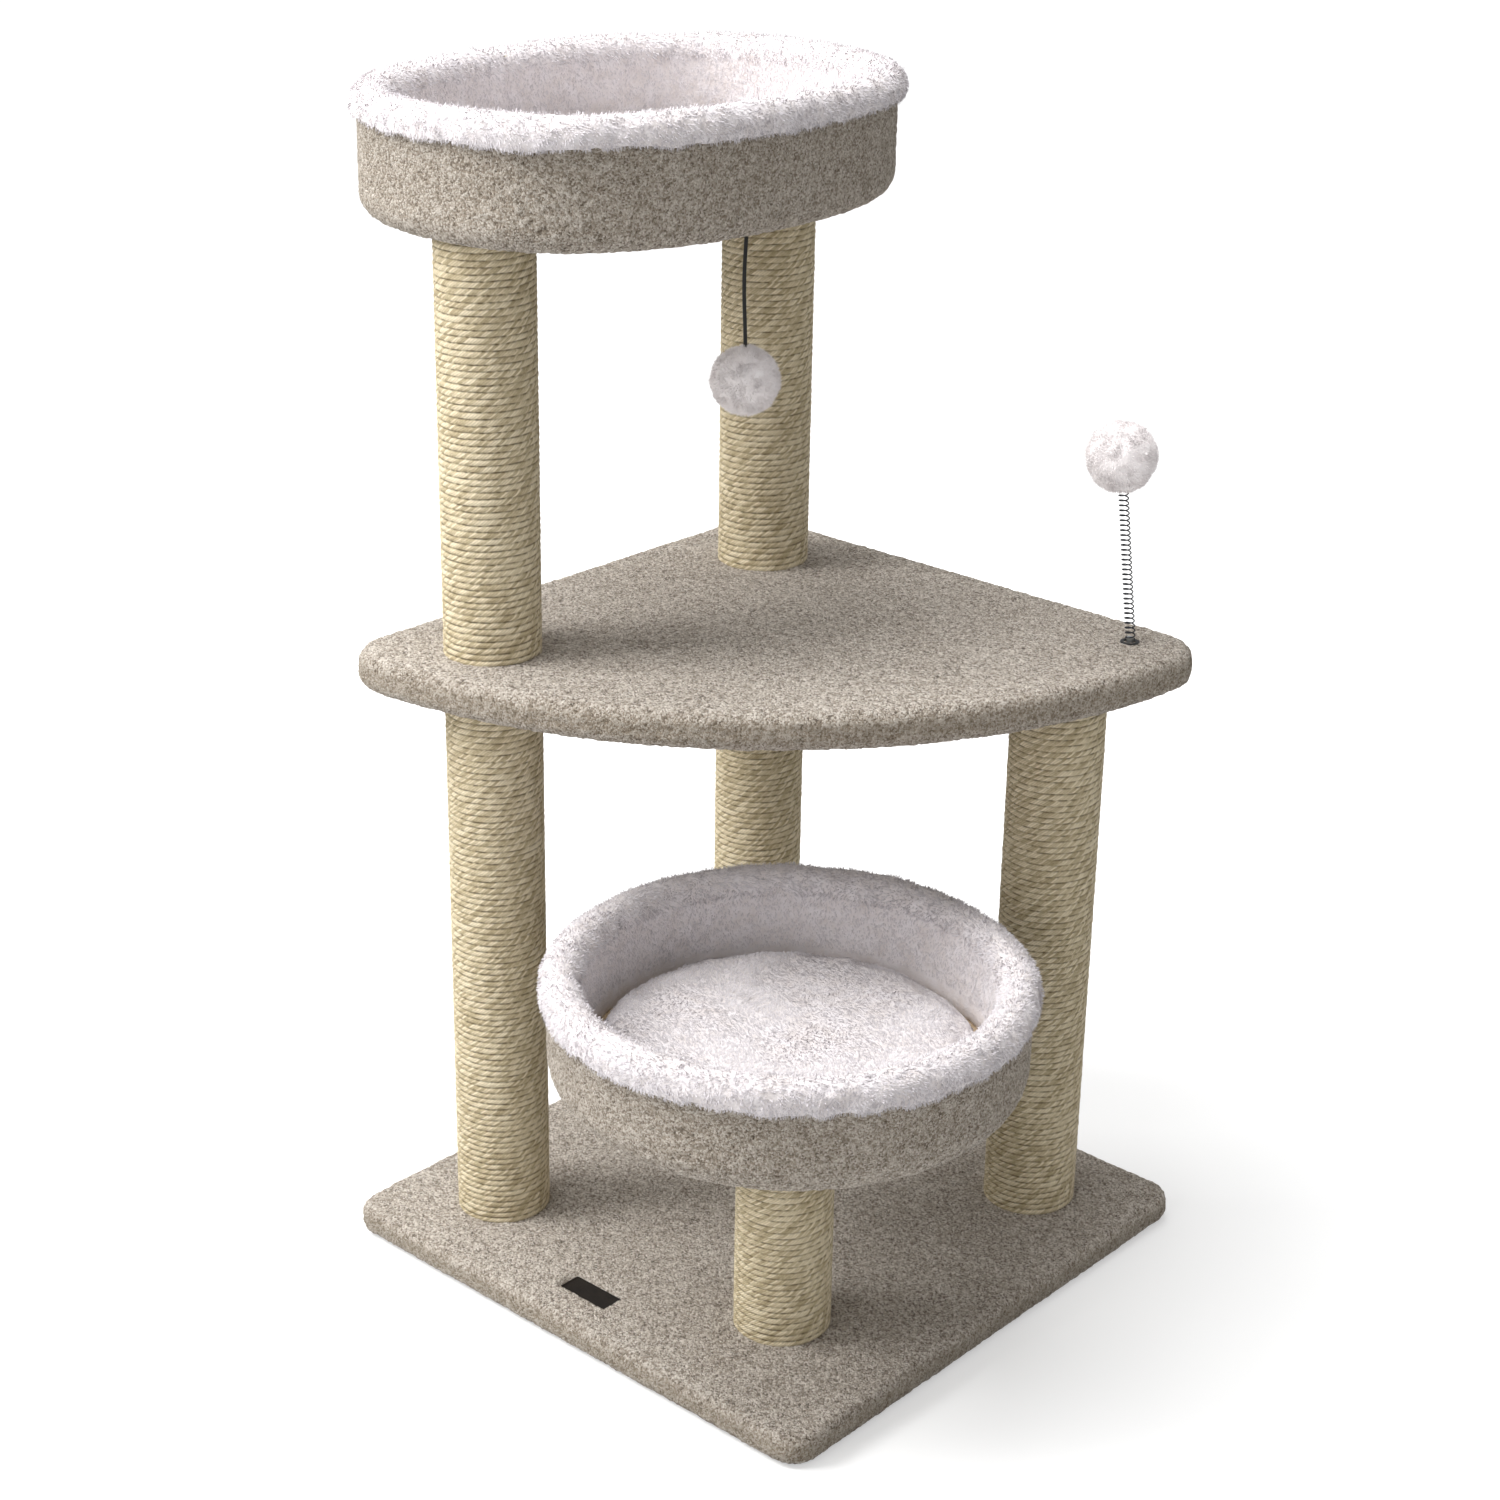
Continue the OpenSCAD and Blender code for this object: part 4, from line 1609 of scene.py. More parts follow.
@dataclass
class Platform:
    """The quarter-round platform, carpeted all round."""

    corner_r: float = 46 * MM
    bulge: float = 175 * MM
    roll: float = 13 * MM
    rings_below: int = 64

    def outline(self, box: Span, step: float) -> Outline:
        """A right-angled corner at the back and one wide arc in front.

        The arc's radius comes from its chord and its rise. Discs of the
        corner radius stand in the back corner and along the arc.

        Args:
            box: The platform's box.
            step: Distance between points.

        Returns:
            The outline.
        """
        corner = np.array([box.low[0], box.high[1]])
        chord = box.size[0] / np.sqrt(2)
        radius = (chord ** 2 + self.bulge ** 2) / (2 * self.bulge)
        shift = (chord - radius + self.bulge) / np.sqrt(2)
        middle = corner + shift * np.array([1, -1])
        r = self.corner_r
        tip = np.arccos((r - shift) / (radius - r))
        angle = np.linspace(-tip, tip - np.pi / 2, 90)
        arc = middle + (radius - r) * np.stack(
            [np.cos(angle), np.sin(angle)], 1)
        discs = np.concatenate([[corner + r * np.array([1, -1])], arc])
        count = rim_count(3.6 * box.size[0], step)
        made = Outline.hull(discs, r, count)
        centre = corner + 0.42 * box.size[0] * np.array([1, -1])
        return Outline.even(made.points, centre, count)

    def build(self) -> None:
        """Makes the carpet: a net, a rolled edge, and rings underneath."""
        box = Span("platform_carpet")
        outline = self.outline(box, 1.1 * PILE_STEP)
        low, high = box.low[2], box.high[2]
        skin = Skin()
        rings = lay_rings(skin, outline, rolled_side(low, high,
                                                     self.roll)[1:-1])
        rim = outline.inset(self.roll)
        lay_patch(skin, rim, outline.centre, high, rings[-1], True)
        self.close_below(skin, rings[0], rim, outline.centre, low)
        settle(tufted(skin, "platform_carpet_pile", 23, 1.0), CARPET,
               "root", "platform_carpet")

    def close_below(self, skin: Skin, ring: Array, rim: Array,
                    centre: Array, height: float) -> None:
        """Closes the underside with rings that shrink to one point.

        Args:
            skin: Where the surface goes.
            ring: Point numbers of the lowest ring.
            rim: The underside's edge.
            centre: Point that the rings shrink to.
            height: Level of the underside.
        """
        shares = np.linspace(0.02, 1, self.rings_below)
        flat = centre + shares[:, None, None] * (rim - centre)[None]
        index = skin.add(at_height(flat, height), np.array([0, 0, -1.0]))
        skin.sheet(np.concatenate([index, ring[None]]), wrap=True)
        skin.cap(index[0], np.array([*centre, height]), flip=True)


# ---- Posts ----

@dataclass
class Post:
    """One post's rope, wound in a single helix from end to end."""

    name: str
    rope_d: float = 6 * MM
    around: int = 96
    across: int = 5
    sink: float = 0.52
    hairs: int = 260
    hairs_on: float = 540 * MM

    def build(self) -> None:
        """Makes the winding and its loose fibres."""
        rope = Span(f"{self.name}_rope")
        winding = self.winding(rope)
        settle(winding, SISAL, "root", f"{self.name}_rope")
        self.fibres(rope)

    def winding(self, rope: Span) -> bpy.types.Object:
        """The winding's surface.

        A point's height rises by one rope for each turn, and after a full
        turn a row meets the next. Across a row the radius follows the arch
        of a round rope, sunk a little, with slow noise on both.

        Args:
            rope: The rope's box.

        Returns:
            The piece.
        """
        n, m, d = self.around, self.across, self.rope_d
        low, high = rope.low[2], rope.high[2]
        rows = m * int(np.ceil((high - low) / d + 1))
        k, j = np.meshgrid(np.arange(n), np.arange(rows + 1))
        angle = TAU * k / n
        radius = rope.size[0] / 2
        rim = radius * np.stack([np.cos(angle), np.sin(angle)], 2)
        level = low - d + d * (j / m + k / n)
        spot = np.concatenate([rim, level[..., None]], 2)
        seed = 31 + int(1000 * abs(rope.middle[0] + 2 * rope.middle[1]
                                   + 3 * low))
        wobble = soft_noise(spot * np.array([1, 1, 3.0]), 22 * MM, seed) - 0.5
        swell = soft_noise(spot * np.array([1, 1, 2.0]), 9 * MM,
                           seed + 1) - 0.5
        part = (j % m) / m
        arch = np.sqrt(np.clip(1 - (2 * part - 1) ** 2, 0, 1))
        r = (radius - self.sink * d / 2 * (1 - arch)
             + 0.7 * MM * (swell - 0.35) * arch)
        points = np.stack([rope.middle[0] + r * np.cos(angle),
                           rope.middle[1] + r * np.sin(angle),
                           level + 1.1 * MM * wobble], 2)
        skin = Skin()
        index = skin.add(points, at_height(rim / radius, 0.0))
        after = np.concatenate(
            [index[:, 1:], np.roll(index[:, :1], -m, 0)], 1)
        last = rows - m
        turn = TAU * radius
        cells = [index[:-1], after[:-1], after[1:], index[1:]]
        quads = np.stack(cells, 2)
        keep = (k[:-1] < n - 1) | (j[:-1] < last)
        skin.quads.append(quads[keep])
        u = turn * (k[:-1] / n + np.floor(j[:-1] / m))
        v = d * (j[:-1] % m) / m
        du, dv = turn / n, d / m
        uv = np.stack([np.stack([u, v], 2), np.stack([u + du, v], 2),
                       np.stack([u + du, v + dv], 2),
                       np.stack([u, v + dv], 2)], 2)
        skin.corner_uv.append(uv[keep].reshape(-1, 2))
        return skin.build(f"{self.name}_winding", values={"crown": arch})

    def fibres(self, rope: Span) -> None:
        """Short loose fibres that stand off the rope.

        Roots are spread over the height and round the post by a random
        draw. Each fibre leans along the rope and outwards.

        Args:
            rope: The rope's box.
        """
        rng = np.random.default_rng(int(1e4 * (2 + rope.middle[0]
                                               + 3 * rope.low[2])))
        count = int(self.hairs * rope.size[2] / self.hairs_on)
        angle = rng.random(count) * TAU
        out = np.stack([np.cos(angle), np.sin(angle), 0 * angle], 1)
        round_way = np.stack([-out[:, 1], out[:, 0], 0 * angle], 1)
        height = rope.low[2] + 4 * MM + rng.random(count) * (
            rope.size[2] - 8 * MM)
        roots = (np.array([*rope.middle[:2], 0]) + out
                 * (rope.size[0] / 2 - 0.8 * MM))
        roots[:, 2] = height
        lean = (round_way * rng.choice([-1, 1], count)[:, None]
                + out * rng.uniform(0.15, 0.6, count)[:, None]
                + np.array([0, 0, 1]) * rng.normal(0, 0.45, count)[:, None])
        made = blades(f"{self.name}_fibres", roots, out, lean,
                      rng.uniform(3, 9, count) * MM, 0.35 * MM, 0.15)
        settle(made, SISAL_HAIR, "root")


# ---- Beds ----

@dataclass
class Bed:
    """A bed: carpet cover, rolled plush lining, foam and loose pad."""

    name: str
    body: str
    power: float
    roll: float
    seed: int
    carpet_t: float = 7 * MM
    wall_in: float = 23 * MM
    lining_in: float = 31 * MM
    plush_t: float = 8 * MM
    flap: float = 28 * MM
    floor_top: float = 17.5 * MM
    cap_rise: float = 12 * MM
    hem_r: float = 3.6 * MM
    hidden_in: float = 0.2 * MM
    crest_h: float = 22 * MM
    rim_hairs: int = 105000
    pad_hairs: int = 60000
    pad_gap: float = 5 * MM
    pad_cap: float = 6.5 * MM
    pressure: float = 4.0
    fill_steps: int = 20
    seam_angle: float | None = None
    seam_w: float = 6 * MM
    seam_deep: float = 2.2 * MM
    eyelet: tuple[float, float] | None = None
    eyelet_deep: float = 6 * MM
    eyelet_reach: float = 8 * MM

    def __post_init__(self) -> None:
        """Reads the bed's place and sizes from the frame."""
        self.cover = Span(f"{self.name}_carpet")
        self.lining = Span(f"{self.name}_lining")
        self.pad = Span(f"{self.name}_pad")
        self.foot = float(self.cover.low[2])
        self.height = float(self.lining.high[2] - self.foot)

    def outline(self, step: float) -> Outline:
        """The cover's outline at a given spacing.

        Args:
            step: Distance between points.

        Returns:
            The outline.
        """
        half = self.cover.size / 2
        length = np.pi * (half[0] + half[1]) * 1.03
        return Outline.oval(self.cover.middle[:2], half[1], half[0],
                            self.power, rim_count(length, step))

    def build(self) -> None:
        """Makes every piece of the bed."""
        self.carpet()
        self.foam()
        self.plush()
        self.cushion()

    def carpet(self) -> None:
        """The cover: a net below, a rolled edge, the wall, and its inside.

        The profile runs from the net's edge round the roll, up the wall,
        over its top, down inside and in under the lining to a cap.
        """
        outline = self.outline(PILE_STEP)
        z, roll, t = self.foot, self.roll, self.carpet_t
        top = z + self.height - self.plush_t
        profile = np.concatenate([
            arc_profile((-roll, z + roll), roll, -90, 0, PILE_STEP)[1:],
            line_profile((0, z + roll), (0, top), 1, 0, PILE_STEP),
            [[-t, top, 0, 1], [-t, z + 2 * self.cap_rise, -1, 0],
             [-self.lining_in, z + self.cap_rise, 0, 1]]])
        skin = Skin()
        rings = lay_rings(skin, outline, profile)
        skin.cap(rings[-1], np.array([*outline.centre, z + self.cap_rise]))
        lay_patch(skin, outline.inset(roll), outline.centre, z, rings[0],
                  False)
        cover = tufted(skin, f"{self.name}_cover", self.seed, 0.55)
        if self.eyelet is not None:
            self.draw_in(cover)
        settle(cover, CARPET, "root", f"{self.name}_carpet")

    def draw_in(self, cover: bpy.types.Object) -> None:
        """Draws the cover's underside in round the eyelet of the cord.

        A point rises by the eyelet's depth. From a fifth of the eyelet's
        reach outwards the rise falls off with the distance.

        Args:
            cover: The finished cover.
        """
        deep, reach = self.eyelet_deep, self.eyelet_reach
        spot = self.coordinates(cover)
        away = np.linalg.norm(spot[:, :2] - self.eyelet, axis=1)
        below = spot[:, 2] < self.foot + deep
        spot[:, 2] += below * deep * np.clip(1.2 - away / reach, 0, 1)
        self.put_points(cover, spot)

    def foam(self) -> None:
        """The foam inside the wall: a closed ring with upright sides."""
        outline = self.outline(12 * MM)
        low = self.foot + self.floor_top
        high = self.foot + self.height - self.plush_t
        out, inner = self.carpet_t + 6 * MM, self.wall_in
        levels = np.linspace(low, high, 8)
        path = np.concatenate([
            np.stack([np.full(8, -out), levels], 1),
            np.stack([np.full(8, -inner), levels[::-1]], 1)])
        skin = Skin()
        index = skin.add(outline.rings(-path[:, 0], path[:, 1]),
                         np.array([0, 0, 1.0]))
        skin.sheet(np.concatenate([index, index[:1]]), wrap=True)
        settle(skin.build(f"{self.name}_foam_ring"), FOAM, "root",
               f"{self.name}_foam")

    def plush(self) -> None:
        """The lining and its hairs.

        The closed profile climbs the flap outside, goes over the rim in half
        a circle and down the wall inside, and comes back through the wall.
        Smooth noise at two widths makes the clumps, and the flap's lower
        edge wanders.
        """
        step = 3 * MM
        outline = self.outline(step)
        z, h = self.foot, self.height
        rim = (self.lining_in + self.plush_t) / 2
        low = z + h - self.flap
        mid = (self.plush_t - rim, z + h - rim)
        hem, hidden = self.hem_r, self.hidden_in
        profile = np.concatenate([
            arc_profile((self.plush_t - hem, low + hem), hem, -80, 0, MM),
            line_profile((self.plush_t, low + hem), (self.plush_t, mid[1]),
                         1, 0, step),
            arc_profile(mid, rim, 0, 180, 2.5 * MM)[1:],
            line_profile((-self.lining_in, mid[1]),
                         (-self.lining_in, z + self.floor_top), -1, 0, step),
            [[-self.wall_in, z + self.floor_top, 0, 0],
             [-self.wall_in, z + h - 10 * MM, 0, 0],
             [hidden, z + h - 10 * MM, 0, 0],
             [hidden, low + 2 * hem, 0, 0]]])
        skin = Skin()
        index = skin.add(outline.rings(-profile[:, 0], profile[:, 1]),
                         outline.ring_normals(profile[:, 2], profile[:, 3]))
        skin.sheet(np.concatenate([index, index[:1]]), wrap=True)
        points, normals = skin.all_points(), skin.all_normals()
        live = np.linalg.norm(normals, axis=1) > 0.5
        inside = (normals[:, :2] * (outline.centre - points[:, :2])).sum(1)
        calm = np.where(inside > 0, 0.45, 1.0)
        clump = soft_noise(points, 13 * MM, self.seed) - 0.5
        small = soft_noise(points, 5.5 * MM, self.seed + 1) - 0.5
        broad = soft_noise(points, 60 * MM, self.seed + 2) - 0.5
        rise = calm * (2.2 * MM * clump + 1.3 * MM * small) + 3 * MM * broad
        rise = np.where(live, rise - 1.4 * MM, 0)
        ragged = soft_noise(points * np.array([1, 1, 0]), 9 * MM,
                            self.seed + 3) - 0.45
        hang = np.clip(1 - (points[:, 2] - low) / (9 * MM), 0, 1)
        moved = points + normals * rise[:, None]
        moved[:, 2] -= np.where(live, 4 * MM * ragged * hang, 0)
        moved = self.seam(moved, normals, inside)
        lining = skin.build(f"{self.name}_plush", moved)
        settle(lining, PLUSH, "root", f"{self.name}_lining")
        self.rim_hair(lining, low)

    def seam(self, points: Array, normals: Array, inside: Array) -> Array:
        """Draws the inner wall in along one upright seam.

        The seam lies where a ray from the bed's middle meets the wall, and
        its depth falls off with the distance from that ray.

        Args:
            points: The lining's points.
            normals: Their outward directions.
            inside: More than nothing where the lining looks inwards.

        Returns:
            The points with the seam.
        """
        if self.seam_angle is None:
            return points
        turn = np.radians(self.seam_angle)
        way = np.array([np.cos(turn), np.sin(turn)])
        reach = points[:, :2] - self.cover.middle[:2]
        aside = np.abs(reach[:, 0] * way[1] - reach[:, 1] * way[0])
        near = np.clip(1 - aside / self.seam_w, 0, 1) * (reach @ way > 0)
        depth = self.seam_deep * near * (inside > 0)
        return points - normals * depth[:, None]

    def rim_hair(self, lining: bpy.types.Object, low: float) -> None:
        """Hairs over the rim and the flap, and shorter ones inside.

        Args:
            lining: The finished lining.
            low: Height of the flap's lower edge.
        """
        roots, normals = scatter(lining, self.rim_hairs, self.seed)
        centre = self.cover.middle[:2]
        inward = (normals[:, :2] * (centre - roots[:, :2])).sum(1) > 0.02
        crest = roots[:, 2] > self.foot + self.height - self.crest_h
        wall = inward & ~crest & (roots[:, 2] > self.pad.high[2] - 14 * MM)
        outer = (crest | ~inward) & (roots[:, 2] > low - 6 * MM)
        keep = outer | wall & (np.arange(len(roots)) % 2 < 1)
        roots, normals, wall = roots[keep], normals[keep], wall[keep]
        rng = np.random.default_rng(self.seed)
        n = len(roots)
        tangent = unit(np.cross(normals, [0, 0, 1.0]) + 1e-6)
        comb = soft_noise(roots, 11 * MM, self.seed + 4) - 0.5
        fall = np.array([0, 0, -1.0]) * np.where(
            crest[keep], 0.2, 0.75)[:, None]
        lean = (normals * rng.uniform(0.2, 0.5, n)[:, None]
                + tangent * (1.2 * comb + rng.normal(0, 0.2, n))[:, None]
                + fall * (1 + rng.normal(0, 0.25, n))[:, None])
        length = np.where(wall, rng.uniform(2, 3.5, n),
                          rng.uniform(2.5, 4.8, n)) * MM
        made = blades(f"{self.name}_plush_hair", roots, normals, lean,
                      length, HAIR_W, 0.1)
        settle(made, PLUSH_HAIR, "root")

    def cushion(self) -> None:
        """The loose pad, filled by pressure, and its hairs."""
        pad = self.filled(self.blank())
        settle(pad, PLUSH, self.body, f"{self.name}_pad")
        roots, normals = scatter(pad, self.pad_hairs, self.seed + 7)
        keep = normals[:, 2] > 0.1
        roots, normals = roots[keep], normals[keep]
        rng = np.random.default_rng(self.seed + 8)
        n = len(roots)
        comb = TAU * soft_noise(roots, 45 * MM, self.seed + 9)
        lean = (normals * rng.uniform(0.2, 0.5, n)[:, None]
                + np.stack([np.cos(comb), np.sin(comb), 0 * comb], 1) * 0.7
                + rng.normal(0, 0.15, (n, 3)))
        hair = blades(f"{self.name}_pad_hair", roots, normals, lean,
                      rng.uniform(2, 4, n) * MM, HAIR_W, 0.05)
        settle(hair, PLUSH_HAIR, self.body)

    def blank(self) -> bpy.types.Object:
        """The unfilled pad: two nets joined round a rounded side.

        Returns:
            The piece before it is filled.
        """
        box = self.pad
        half = box.size / 2 - self.pad_gap
        low, high = box.low[2] + 1.5 * MM, box.high[2] - 11 * MM
        soft = (high - low) / 2
        outline = Outline.oval(box.middle[:2], half[1], half[0], self.power,
                               rim_count(6.2 * half.max(), 5 * MM))
        profile = arc_profile((-soft, low + soft), soft, -90, 90,
                              4 * MM)[1:-1]
        skin = Skin()
        rings = lay_rings(skin, outline, profile)
        rim = outline.inset(soft)
        for level, ring, up in ((high, rings[-1], True),
                                (low, rings[0], False)):
            lay_patch(skin, rim, outline.centre, level, ring, up)
        return skin.build(f"{self.name}_cushion")

    def filled(self, pad: bpy.types.Object) -> bpy.types.Object:
        """Blows the pad up as cloth, holds it to its room and smooths it.

        The mesh is remade in even cells and swells under pressure step by
        step. No point moves further than the cap, and none ends below the
        floor of its room or far over its top.

        Args:
            pad: The unfilled pad.

        Returns:
            The same object with its finished mesh.
        """
        remade = pad.modifiers.new("even cells", "REMESH")
        remade.mode, remade.voxel_size = "VOXEL", 5 * MM
        self.apply(pad)
        rest = self.coordinates(pad)
        swell = rest.copy()
        cloth = pad.modifiers.new("filling", "CLOTH")
        cloth.settings.use_pressure = True
        cloth.settings.uniform_pressure_force = self.pressure
        cloth.settings.effector_weights.gravity = 0.0
        cloth.point_cache.frame_start = 1
        cloth.point_cache.frame_end = self.fill_steps
        for step in range(1, self.fill_steps + 1):
            bpy.context.scene.frame_set(step)
        graph = bpy.context.evaluated_depsgraph_get()
        swell = self.coordinates(pad.evaluated_get(graph))
        pad.modifiers.clear()
        bpy.context.scene.frame_set(1)
        move = swell - rest
        far = np.linalg.norm(move, axis=1, keepdims=True)
        move *= np.minimum(1, self.pad_cap / np.maximum(far, 1e-9))
        spot = rest + move
        spot[:, 2] += 2.2 * MM * (soft_noise(rest, 38 * MM,
                                             self.seed) - 0.5)
        spot[:, 2] = np.clip(spot[:, 2], self.pad.low[2] + 0.3 * MM,
                             self.pad.high[2] + 4 * MM)
        self.put_points(pad, spot)
        smooth = pad.modifiers.new("smooth", "SUBSURF")
        smooth.levels = smooth.render_levels = 1
        self.apply(pad)
        pad.data.polygons.foreach_set(
            "use_smooth", np.ones(len(pad.data.polygons), bool))
        return pad

    @staticmethod
    def coordinates(piece: bpy.types.Object) -> Array:
        """The places of a mesh's points.

        Args:
            piece: A mesh object.

        Returns:
            One row for each point.
        """
        flat = np.empty(3 * len(piece.data.vertices), np.float32)
        piece.data.vertices.foreach_get("co", flat)
        return flat.reshape(-1, 3).astype(float)

    @staticmethod
    def put_points(piece: bpy.types.Object, spot: Array) -> None:
        """Moves a mesh's points to new places."""
        piece.data.vertices.foreach_set(
            "co", spot.astype(np.float32).ravel())

    @staticmethod
    def apply(piece: bpy.types.Object) -> None:
        """Makes the modified mesh the object's own.

        Args:
            piece: A mesh object with modifiers.
        """
        bpy.context.view_layer.update()
        graph = bpy.context.evaluated_depsgraph_get()
        made = bpy.data.meshes.new_from_object(piece.evaluated_get(graph))
        piece.modifiers.clear()
        piece.data = made


# ---- Toys ----

@dataclass
class Pompom:
    """A ball of white fluff: a dense core and radial hairs."""

    name: str
    node: str
    body: str
    seed: int
    hairs: int = 20000
    core: float = 0.87

    def build(self) -> list[bpy.types.Object]:
        """Makes the core and the hairs.

        Returns:
            Both pieces.
        """
        box = Span(self.node)
        core = self.ball(box)
        settle(core, POMPOM_HAIR, self.body, self.node)
        hair = self.fluff(box)
        settle(hair, POMPOM_HAIR, self.body)
        return [core, hair]

    def ball(self, box: Span) -> bpy.types.Object:
        """The core: a sphere in rings, moved in and out by smooth noise.

        Args:
            box: The pompom's box.

        Returns:
            The piece.
        """
        rows, cols = 30, 48
        lat = np.linspace(-np.pi / 2, np.pi / 2, rows + 2)[1:-1]
        lon = np.linspace(0, TAU, cols, endpoint=False)
        b, a = np.meshgrid(lat, lon, indexing="ij")
        way = np.stack([np.cos(b) * np.cos(a), np.cos(b) * np.sin(a),
                        np.sin(b)], 2)
        radius = box.size[2] / 2 * self.core
        bumps = soft_noise(way, 0.22, self.seed)
        skin = Skin()
        index = skin.add(box.middle + way * (
            radius * (0.94 + 0.12 * bumps))[..., None], way)
        skin.sheet(index, wrap=True)
        for row, end, flip in ((-1, 1, False), (0, -1, True)):
            skin.cap(index[row], box.middle + [0, 0, end * radius * 0.99],
                     flip=flip)
        n = skin.count
        return skin.build(self.name + "_core", values={
            "tip": np.full(n, 0.5), "tone": dice(
                np.rint(skin.all_points() * 1e5), self.seed)})

    def fluff(self, box: Span) -> bpy.types.Object:
        """Hairs on a spiral of even places over the sphere.

        Each hair leans out and aside. The lean is shared by its
        neighbourhood, so that the hairs lie in locks.

        Args:
            box: The pompom's box.

        Returns:
            The piece.
        """
        n = self.hairs
        k = np.arange(n)
        z = 1 - 2 * (k + 0.5) / n
        angle = k * np.pi * (3 - np.sqrt(5))
        flat = np.sqrt(1 - z * z)
        way = np.stack([flat * np.cos(angle), flat * np.sin(angle), z], 1)
        rng = np.random.default_rng(self.seed)
        radius = box.size[2] / 2
        lock = np.stack([soft_noise(way + 7 * q, 0.24, self.seed + q)
                         for q in range(3)], 1) - 0.5
        lean = unit(way + lock * 0.9 + rng.normal(0, 0.2, (n, 3)))
        root_at = radius * rng.uniform(0.66, 0.8, n)
        reach = radius * (rng.uniform(0.9, 1.0, n) + 0.10 * lock[:, 0])
        cosine = np.clip((lean * way).sum(1), 0.35, 1)
        length = np.clip((reach - root_at) / cosine, 0.15 * radius,
                         0.5 * radius)
        return blades(self.name + "_fluff",
                      box.middle + way * root_at[:, None], way, lean,
                      length, HAIR_W, 0.12)


@dataclass
class SpringToy:
    """The coil spring with its pompom and the collar it stands in."""

    wire_r: float = 0.65 * MM
    coil_r: float = 4.35 * MM
    pitch: float = 4.7 * MM
    foot: float = 610 * MM
    pivot: float = 614.5 * MM
    lean: float = 6.5
    top: float = 766 * MM
    hinge_top: float = 640 * MM
    collar_rise: float = 1.2 * MM
    neck_in: float = 2 * MM
    lip: float = 0.6 * MM
    bore_r: float = 5.6 * MM
    bore_deep: float = 12 * MM

    def build(self) -> None:
        """Makes the collar, the spring and the pompom."""
        axis = Span("spring_socket").middle[:2]
        self.collar(axis)
        self.coil(axis)
        Pompom("spring_pompom", "spring_pompom", "spring_toy", 71).build()

    def collar(self, axis: Array) -> None:
        """A black collar with a rounded lip and an open bore.

        Args:
            axis: The spring's place, seen from above.
        """
        box = Span("spring_socket")
        r = box.size[0] / 2
        outline = Outline.oval(axis, r, r, 2, 64)
        top = box.high[2]
        under = top - self.collar_rise
        neck, bore, e = -self.neck_in, -(r - self.bore_r), self.lip
        bottom = top - self.bore_deep
        path = np.array([
            [neck, box.low[2]], [neck, under], [0, under], [0, top - e],
            [-0.3 * e, top - 0.3 * e], [-e, top], [bore + e, top],
            [bore + 0.2 * e, top - 0.3 * e], [bore, top - e],
            [bore, bottom]])
        skin = Skin()
        rings = lay_rings(skin, outline, np.concatenate(
            [path, np.zeros((len(path), 2))], 1))
        skin.cap(rings[-1], np.array([*axis, bottom]))
        skin.cap(rings[0], np.array([*axis, box.low[2]]), flip=True)
        settle(skin.build("spring_collar"), BLACK, "root", "spring_socket")

    def coil(self, axis: Array) -> None:
        """The wire: a helix whose axis leans towards the front left.

        Args:
            axis: The spring's place, seen from above.
        """
        turns = (self.top - self.foot) / self.pitch
        t = np.linspace(0, turns, int(turns * 18))
        z = self.foot + self.pitch * t
        back = (z - self.pivot) * np.tan(np.radians(self.lean)) / np.sqrt(2)
        route = np.stack([axis[0] - back + self.coil_r * np.cos(TAU * t),
                          axis[1] - back + self.coil_r * np.sin(TAU * t),
                          z], 1)
        made = tube("toy_spring_coil", route, self.wire_r, 8)
        SPRING.dress(made)
        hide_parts("toy_spring")
        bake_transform(made)


@dataclass
class HangingToy:
    """The elastic cord under the upper bed, with its pompom."""

    x: float = -65 * MM
    y: float = 20 * MM
    z: float = 990 * MM
    cord_d: float = 3.5 * MM
    sag: tuple[float, ...] = (0, 0.2, 0.5, 0.8, 1.1, 1.3, 1.4, 1.4, 1.3,
                              1.1, 0.8, 0.5, 0.3, 0.1, 0)
    drop: tuple[float, ...] = (0.5, 9, 18, 27, 36, 45, 54, 62, 70, 79, 88,
                               97, 106, 114, 123)

    def build(self) -> None:
        aside, down = np.array(self.sag) * MM, np.array(self.drop) * MM
        route = np.stack([self.x - aside, self.y - aside, self.z - down], 1)
        cord = tube("hanging_toy_cord", route, self.cord_d / 2, 16)
        settle(cord, CORD, "hanging_toy", "hanging_cord")
        pieces = Pompom("hanging_pompom", "hanging_pompom", "hanging_toy",
                        83).build()


# ---- Inner parts ----

def dress_inner_parts() -> None:
    """Gives every solid that still stands for itself its slot's finish."""
    by_slot = {finish.slot: finish for finish in FINISHES}
    for row in frame["record"]["subparts"]:
        node = frame["nodes"][row["node"]]
        by_slot[row["material_slot"]].dress(node)


# ---- Studio ----

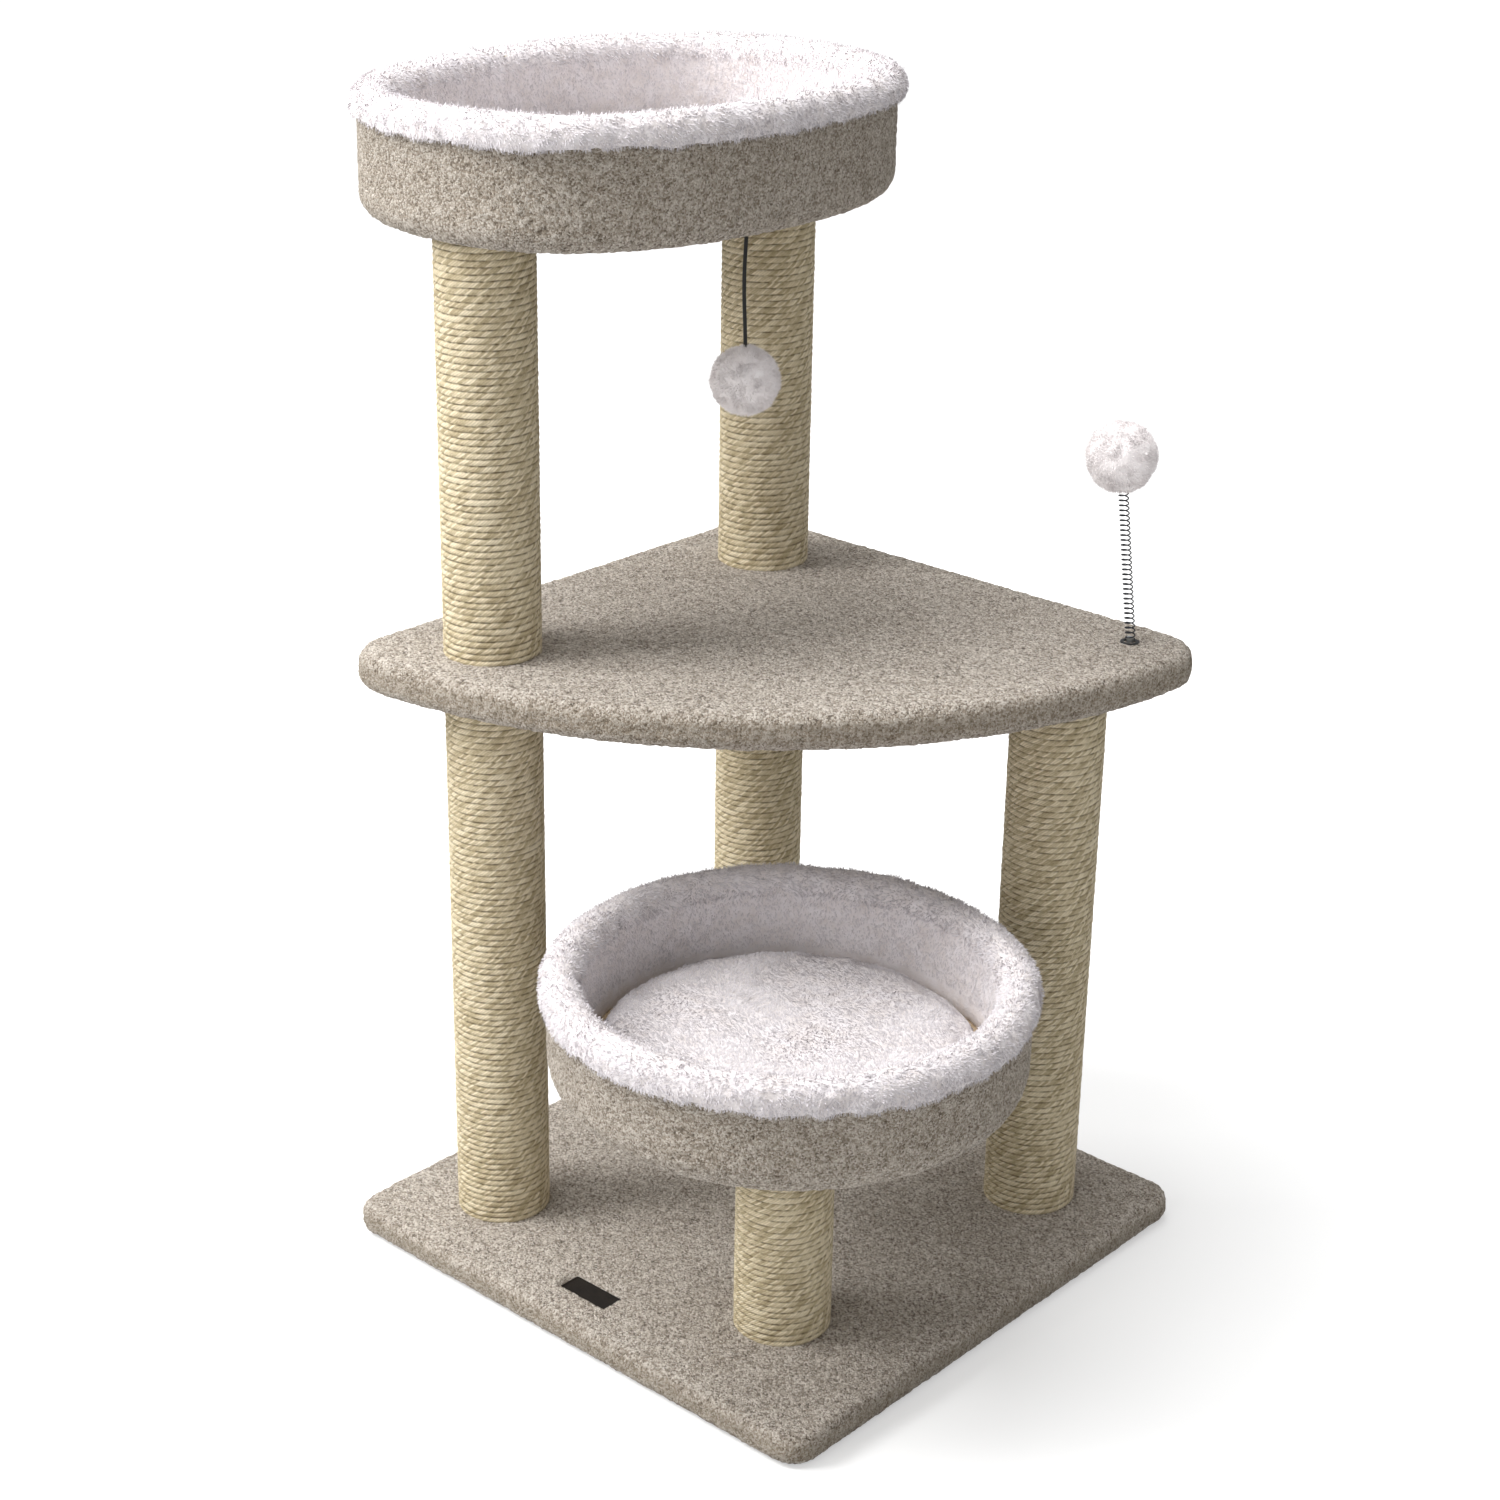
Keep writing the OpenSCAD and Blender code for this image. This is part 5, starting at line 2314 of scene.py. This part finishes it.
@dataclass
class Studio:
    """Camera, soft lights and a plain pale floor that gives off painted light.
    """

    lens: float = 66.84
    place: tuple[float, float, float] = (1.5588, -1.7987, 1.4967)
    target: tuple[float, float, float] = (0.03712, -0.07993, 0.54213)
    tilt: float = 0.98
    floor_r: float = 14.0

    def build(self) -> None:
        """Sets up everything round the object."""
        self.camera()
        self.lights()
        self.floor()

    def camera(self) -> None:
        """A camera that looks at the target, turned a little on its axis."""
        data = bpy.data.cameras.new("camera")
        data.lens, data.sensor_width = self.lens, 36.0
        data.clip_end = 60.0
        camera = bpy.data.objects.new("camera", data)
        bpy.context.scene.collection.objects.link(camera)
        ahead = (Vector(self.target) - Vector(self.place)).normalized()
        right = ahead.cross(Vector((0, 0, 1))).normalized()
        up = right.cross(ahead)
        a = np.radians(self.tilt)
        x_axis = right * np.cos(a) + up * np.sin(a)
        y_axis = up * np.cos(a) - right * np.sin(a)
        turn = Matrix((x_axis, y_axis, -ahead)).transposed()
        camera.matrix_world = Matrix.Translation(self.place) @ turn.to_4x4()
        bpy.context.scene.camera = camera

    def lamp(self, name: str, place: tuple[float, float, float],
             size: float, power: float) -> None:
        """A square soft light that looks at the object.

        Args:
            name: Name of the light.
            place: Where it stands.
            size: Side of the square.
            power: Its power in watts.
        """
        data = bpy.data.lights.new(name, "AREA")
        data.size, data.energy = size, power
        lamp = bpy.data.objects.new(name, data)
        bpy.context.scene.collection.objects.link(lamp)
        lamp.location = place
        look = Vector((0, 0, 0.5)) - Vector(place)
        lamp.rotation_euler = look.to_track_quat("-Z", "Y").to_euler()

    def lights(self) -> None:
        """Key from the left, lamps in front and above, a fill, a sky."""
        self.lamp("key light", (-1.8, -2.1, 2.6), 1.5, 112.0)
        self.lamp("front light", (0.5, -3.1, 1.5), 1.3, 17.0)
        self.lamp("top light", (-0.7, -0.5, 3.6), 2.4, 120.0)
        self.lamp("fill light", (2.8, 0.6, 1.9), 2.4, 6.0)
        world = bpy.data.worlds.new("white studio")
        world.use_nodes = True
        sky = world.node_tree.nodes["Background"]
        sky.inputs["Color"].default_value = (1.0, 1.0, 1.0, 1.0)
        sky.inputs["Strength"].default_value = 0.46
        bpy.context.scene.world = world
        bpy.context.scene.view_settings.view_transform = "Standard"

    def floor(self) -> None:
        """A round floor in one level fan, giving off painted light that only
        the camera sees, more far away.
        """
        t = np.linspace(0, TAU, 96, endpoint=False)
        rim = self.floor_r * np.stack([np.cos(t), np.sin(t)], 1)
        skin = Skin()
        ring = skin.add(at_height(rim, 0.0)[None], np.array([0, 0, 1.0]))
        skin.cap(ring[0], np.zeros(3))
        floor = skin.build("floor")
        made = bpy.data.materials.new("pale floor")
        made.use_nodes = True
        surface = made.node_tree.nodes["Principled BSDF"]
        bench = Bench(made.node_tree)
        cloud = bench.noise(bench.place(), 0.7, 2.0)
        surface.inputs["Roughness"].default_value = 0.9
        surface.inputs["Emission Strength"].default_value = 1.0
        # painted light: the floor gives off light for camera rays only, rising
        # with distance from the middle
        away = bench.put("ShaderNodeVectorMath", {"operation": "LENGTH"})
        bench.fill(away.inputs[0], bench.place())
        seen = bench.put("ShaderNodeLightPath").outputs["Is Camera Ray"]
        painted_floor_glow = bench.math("MULTIPLY", seen, bench.span(
            away.outputs["Value"], 0.5, 2.0, 0.42, 0.8))
        bench.fill(surface.inputs["Emission Color"], bench.put(
            "ShaderNodeCombineColor", Red=painted_floor_glow, Green=painted_floor_glow, Blue=painted_floor_glow
            ).outputs[0])
        bench.fill(surface.inputs["Base Color"], bench.ramp(
            cloud, [(0.3, (0.60, 0.60, 0.60, 1)),
                    (0.7, (0.62, 0.62, 0.62, 1))]))
        floor.data.materials.append(made)


def main() -> None:
    """Builds the whole object in order."""
    logging.basicConfig(level=logging.INFO, format="%(message)s")
    Studio().build()
    dress_inner_parts()
    toy = HangingToy()
    toy.build()
    SpringToy().build()
    Base().build()
    Platform().build()
    for name in ("left_post", "back_post", "right_post", "front_post",
                 "upper_left_post", "upper_back_post"):
        Post(name).build()
    Bed("upper_bed", "upper_pad", 2.4, 22 * MM, 41, seam_angle=179.0,
        eyelet=(toy.x, toy.y)).build()
    Bed("lower_bed", "lower_pad", 2.0, 30 * MM, 57).build()


if __name__ == "__main__":
    main()
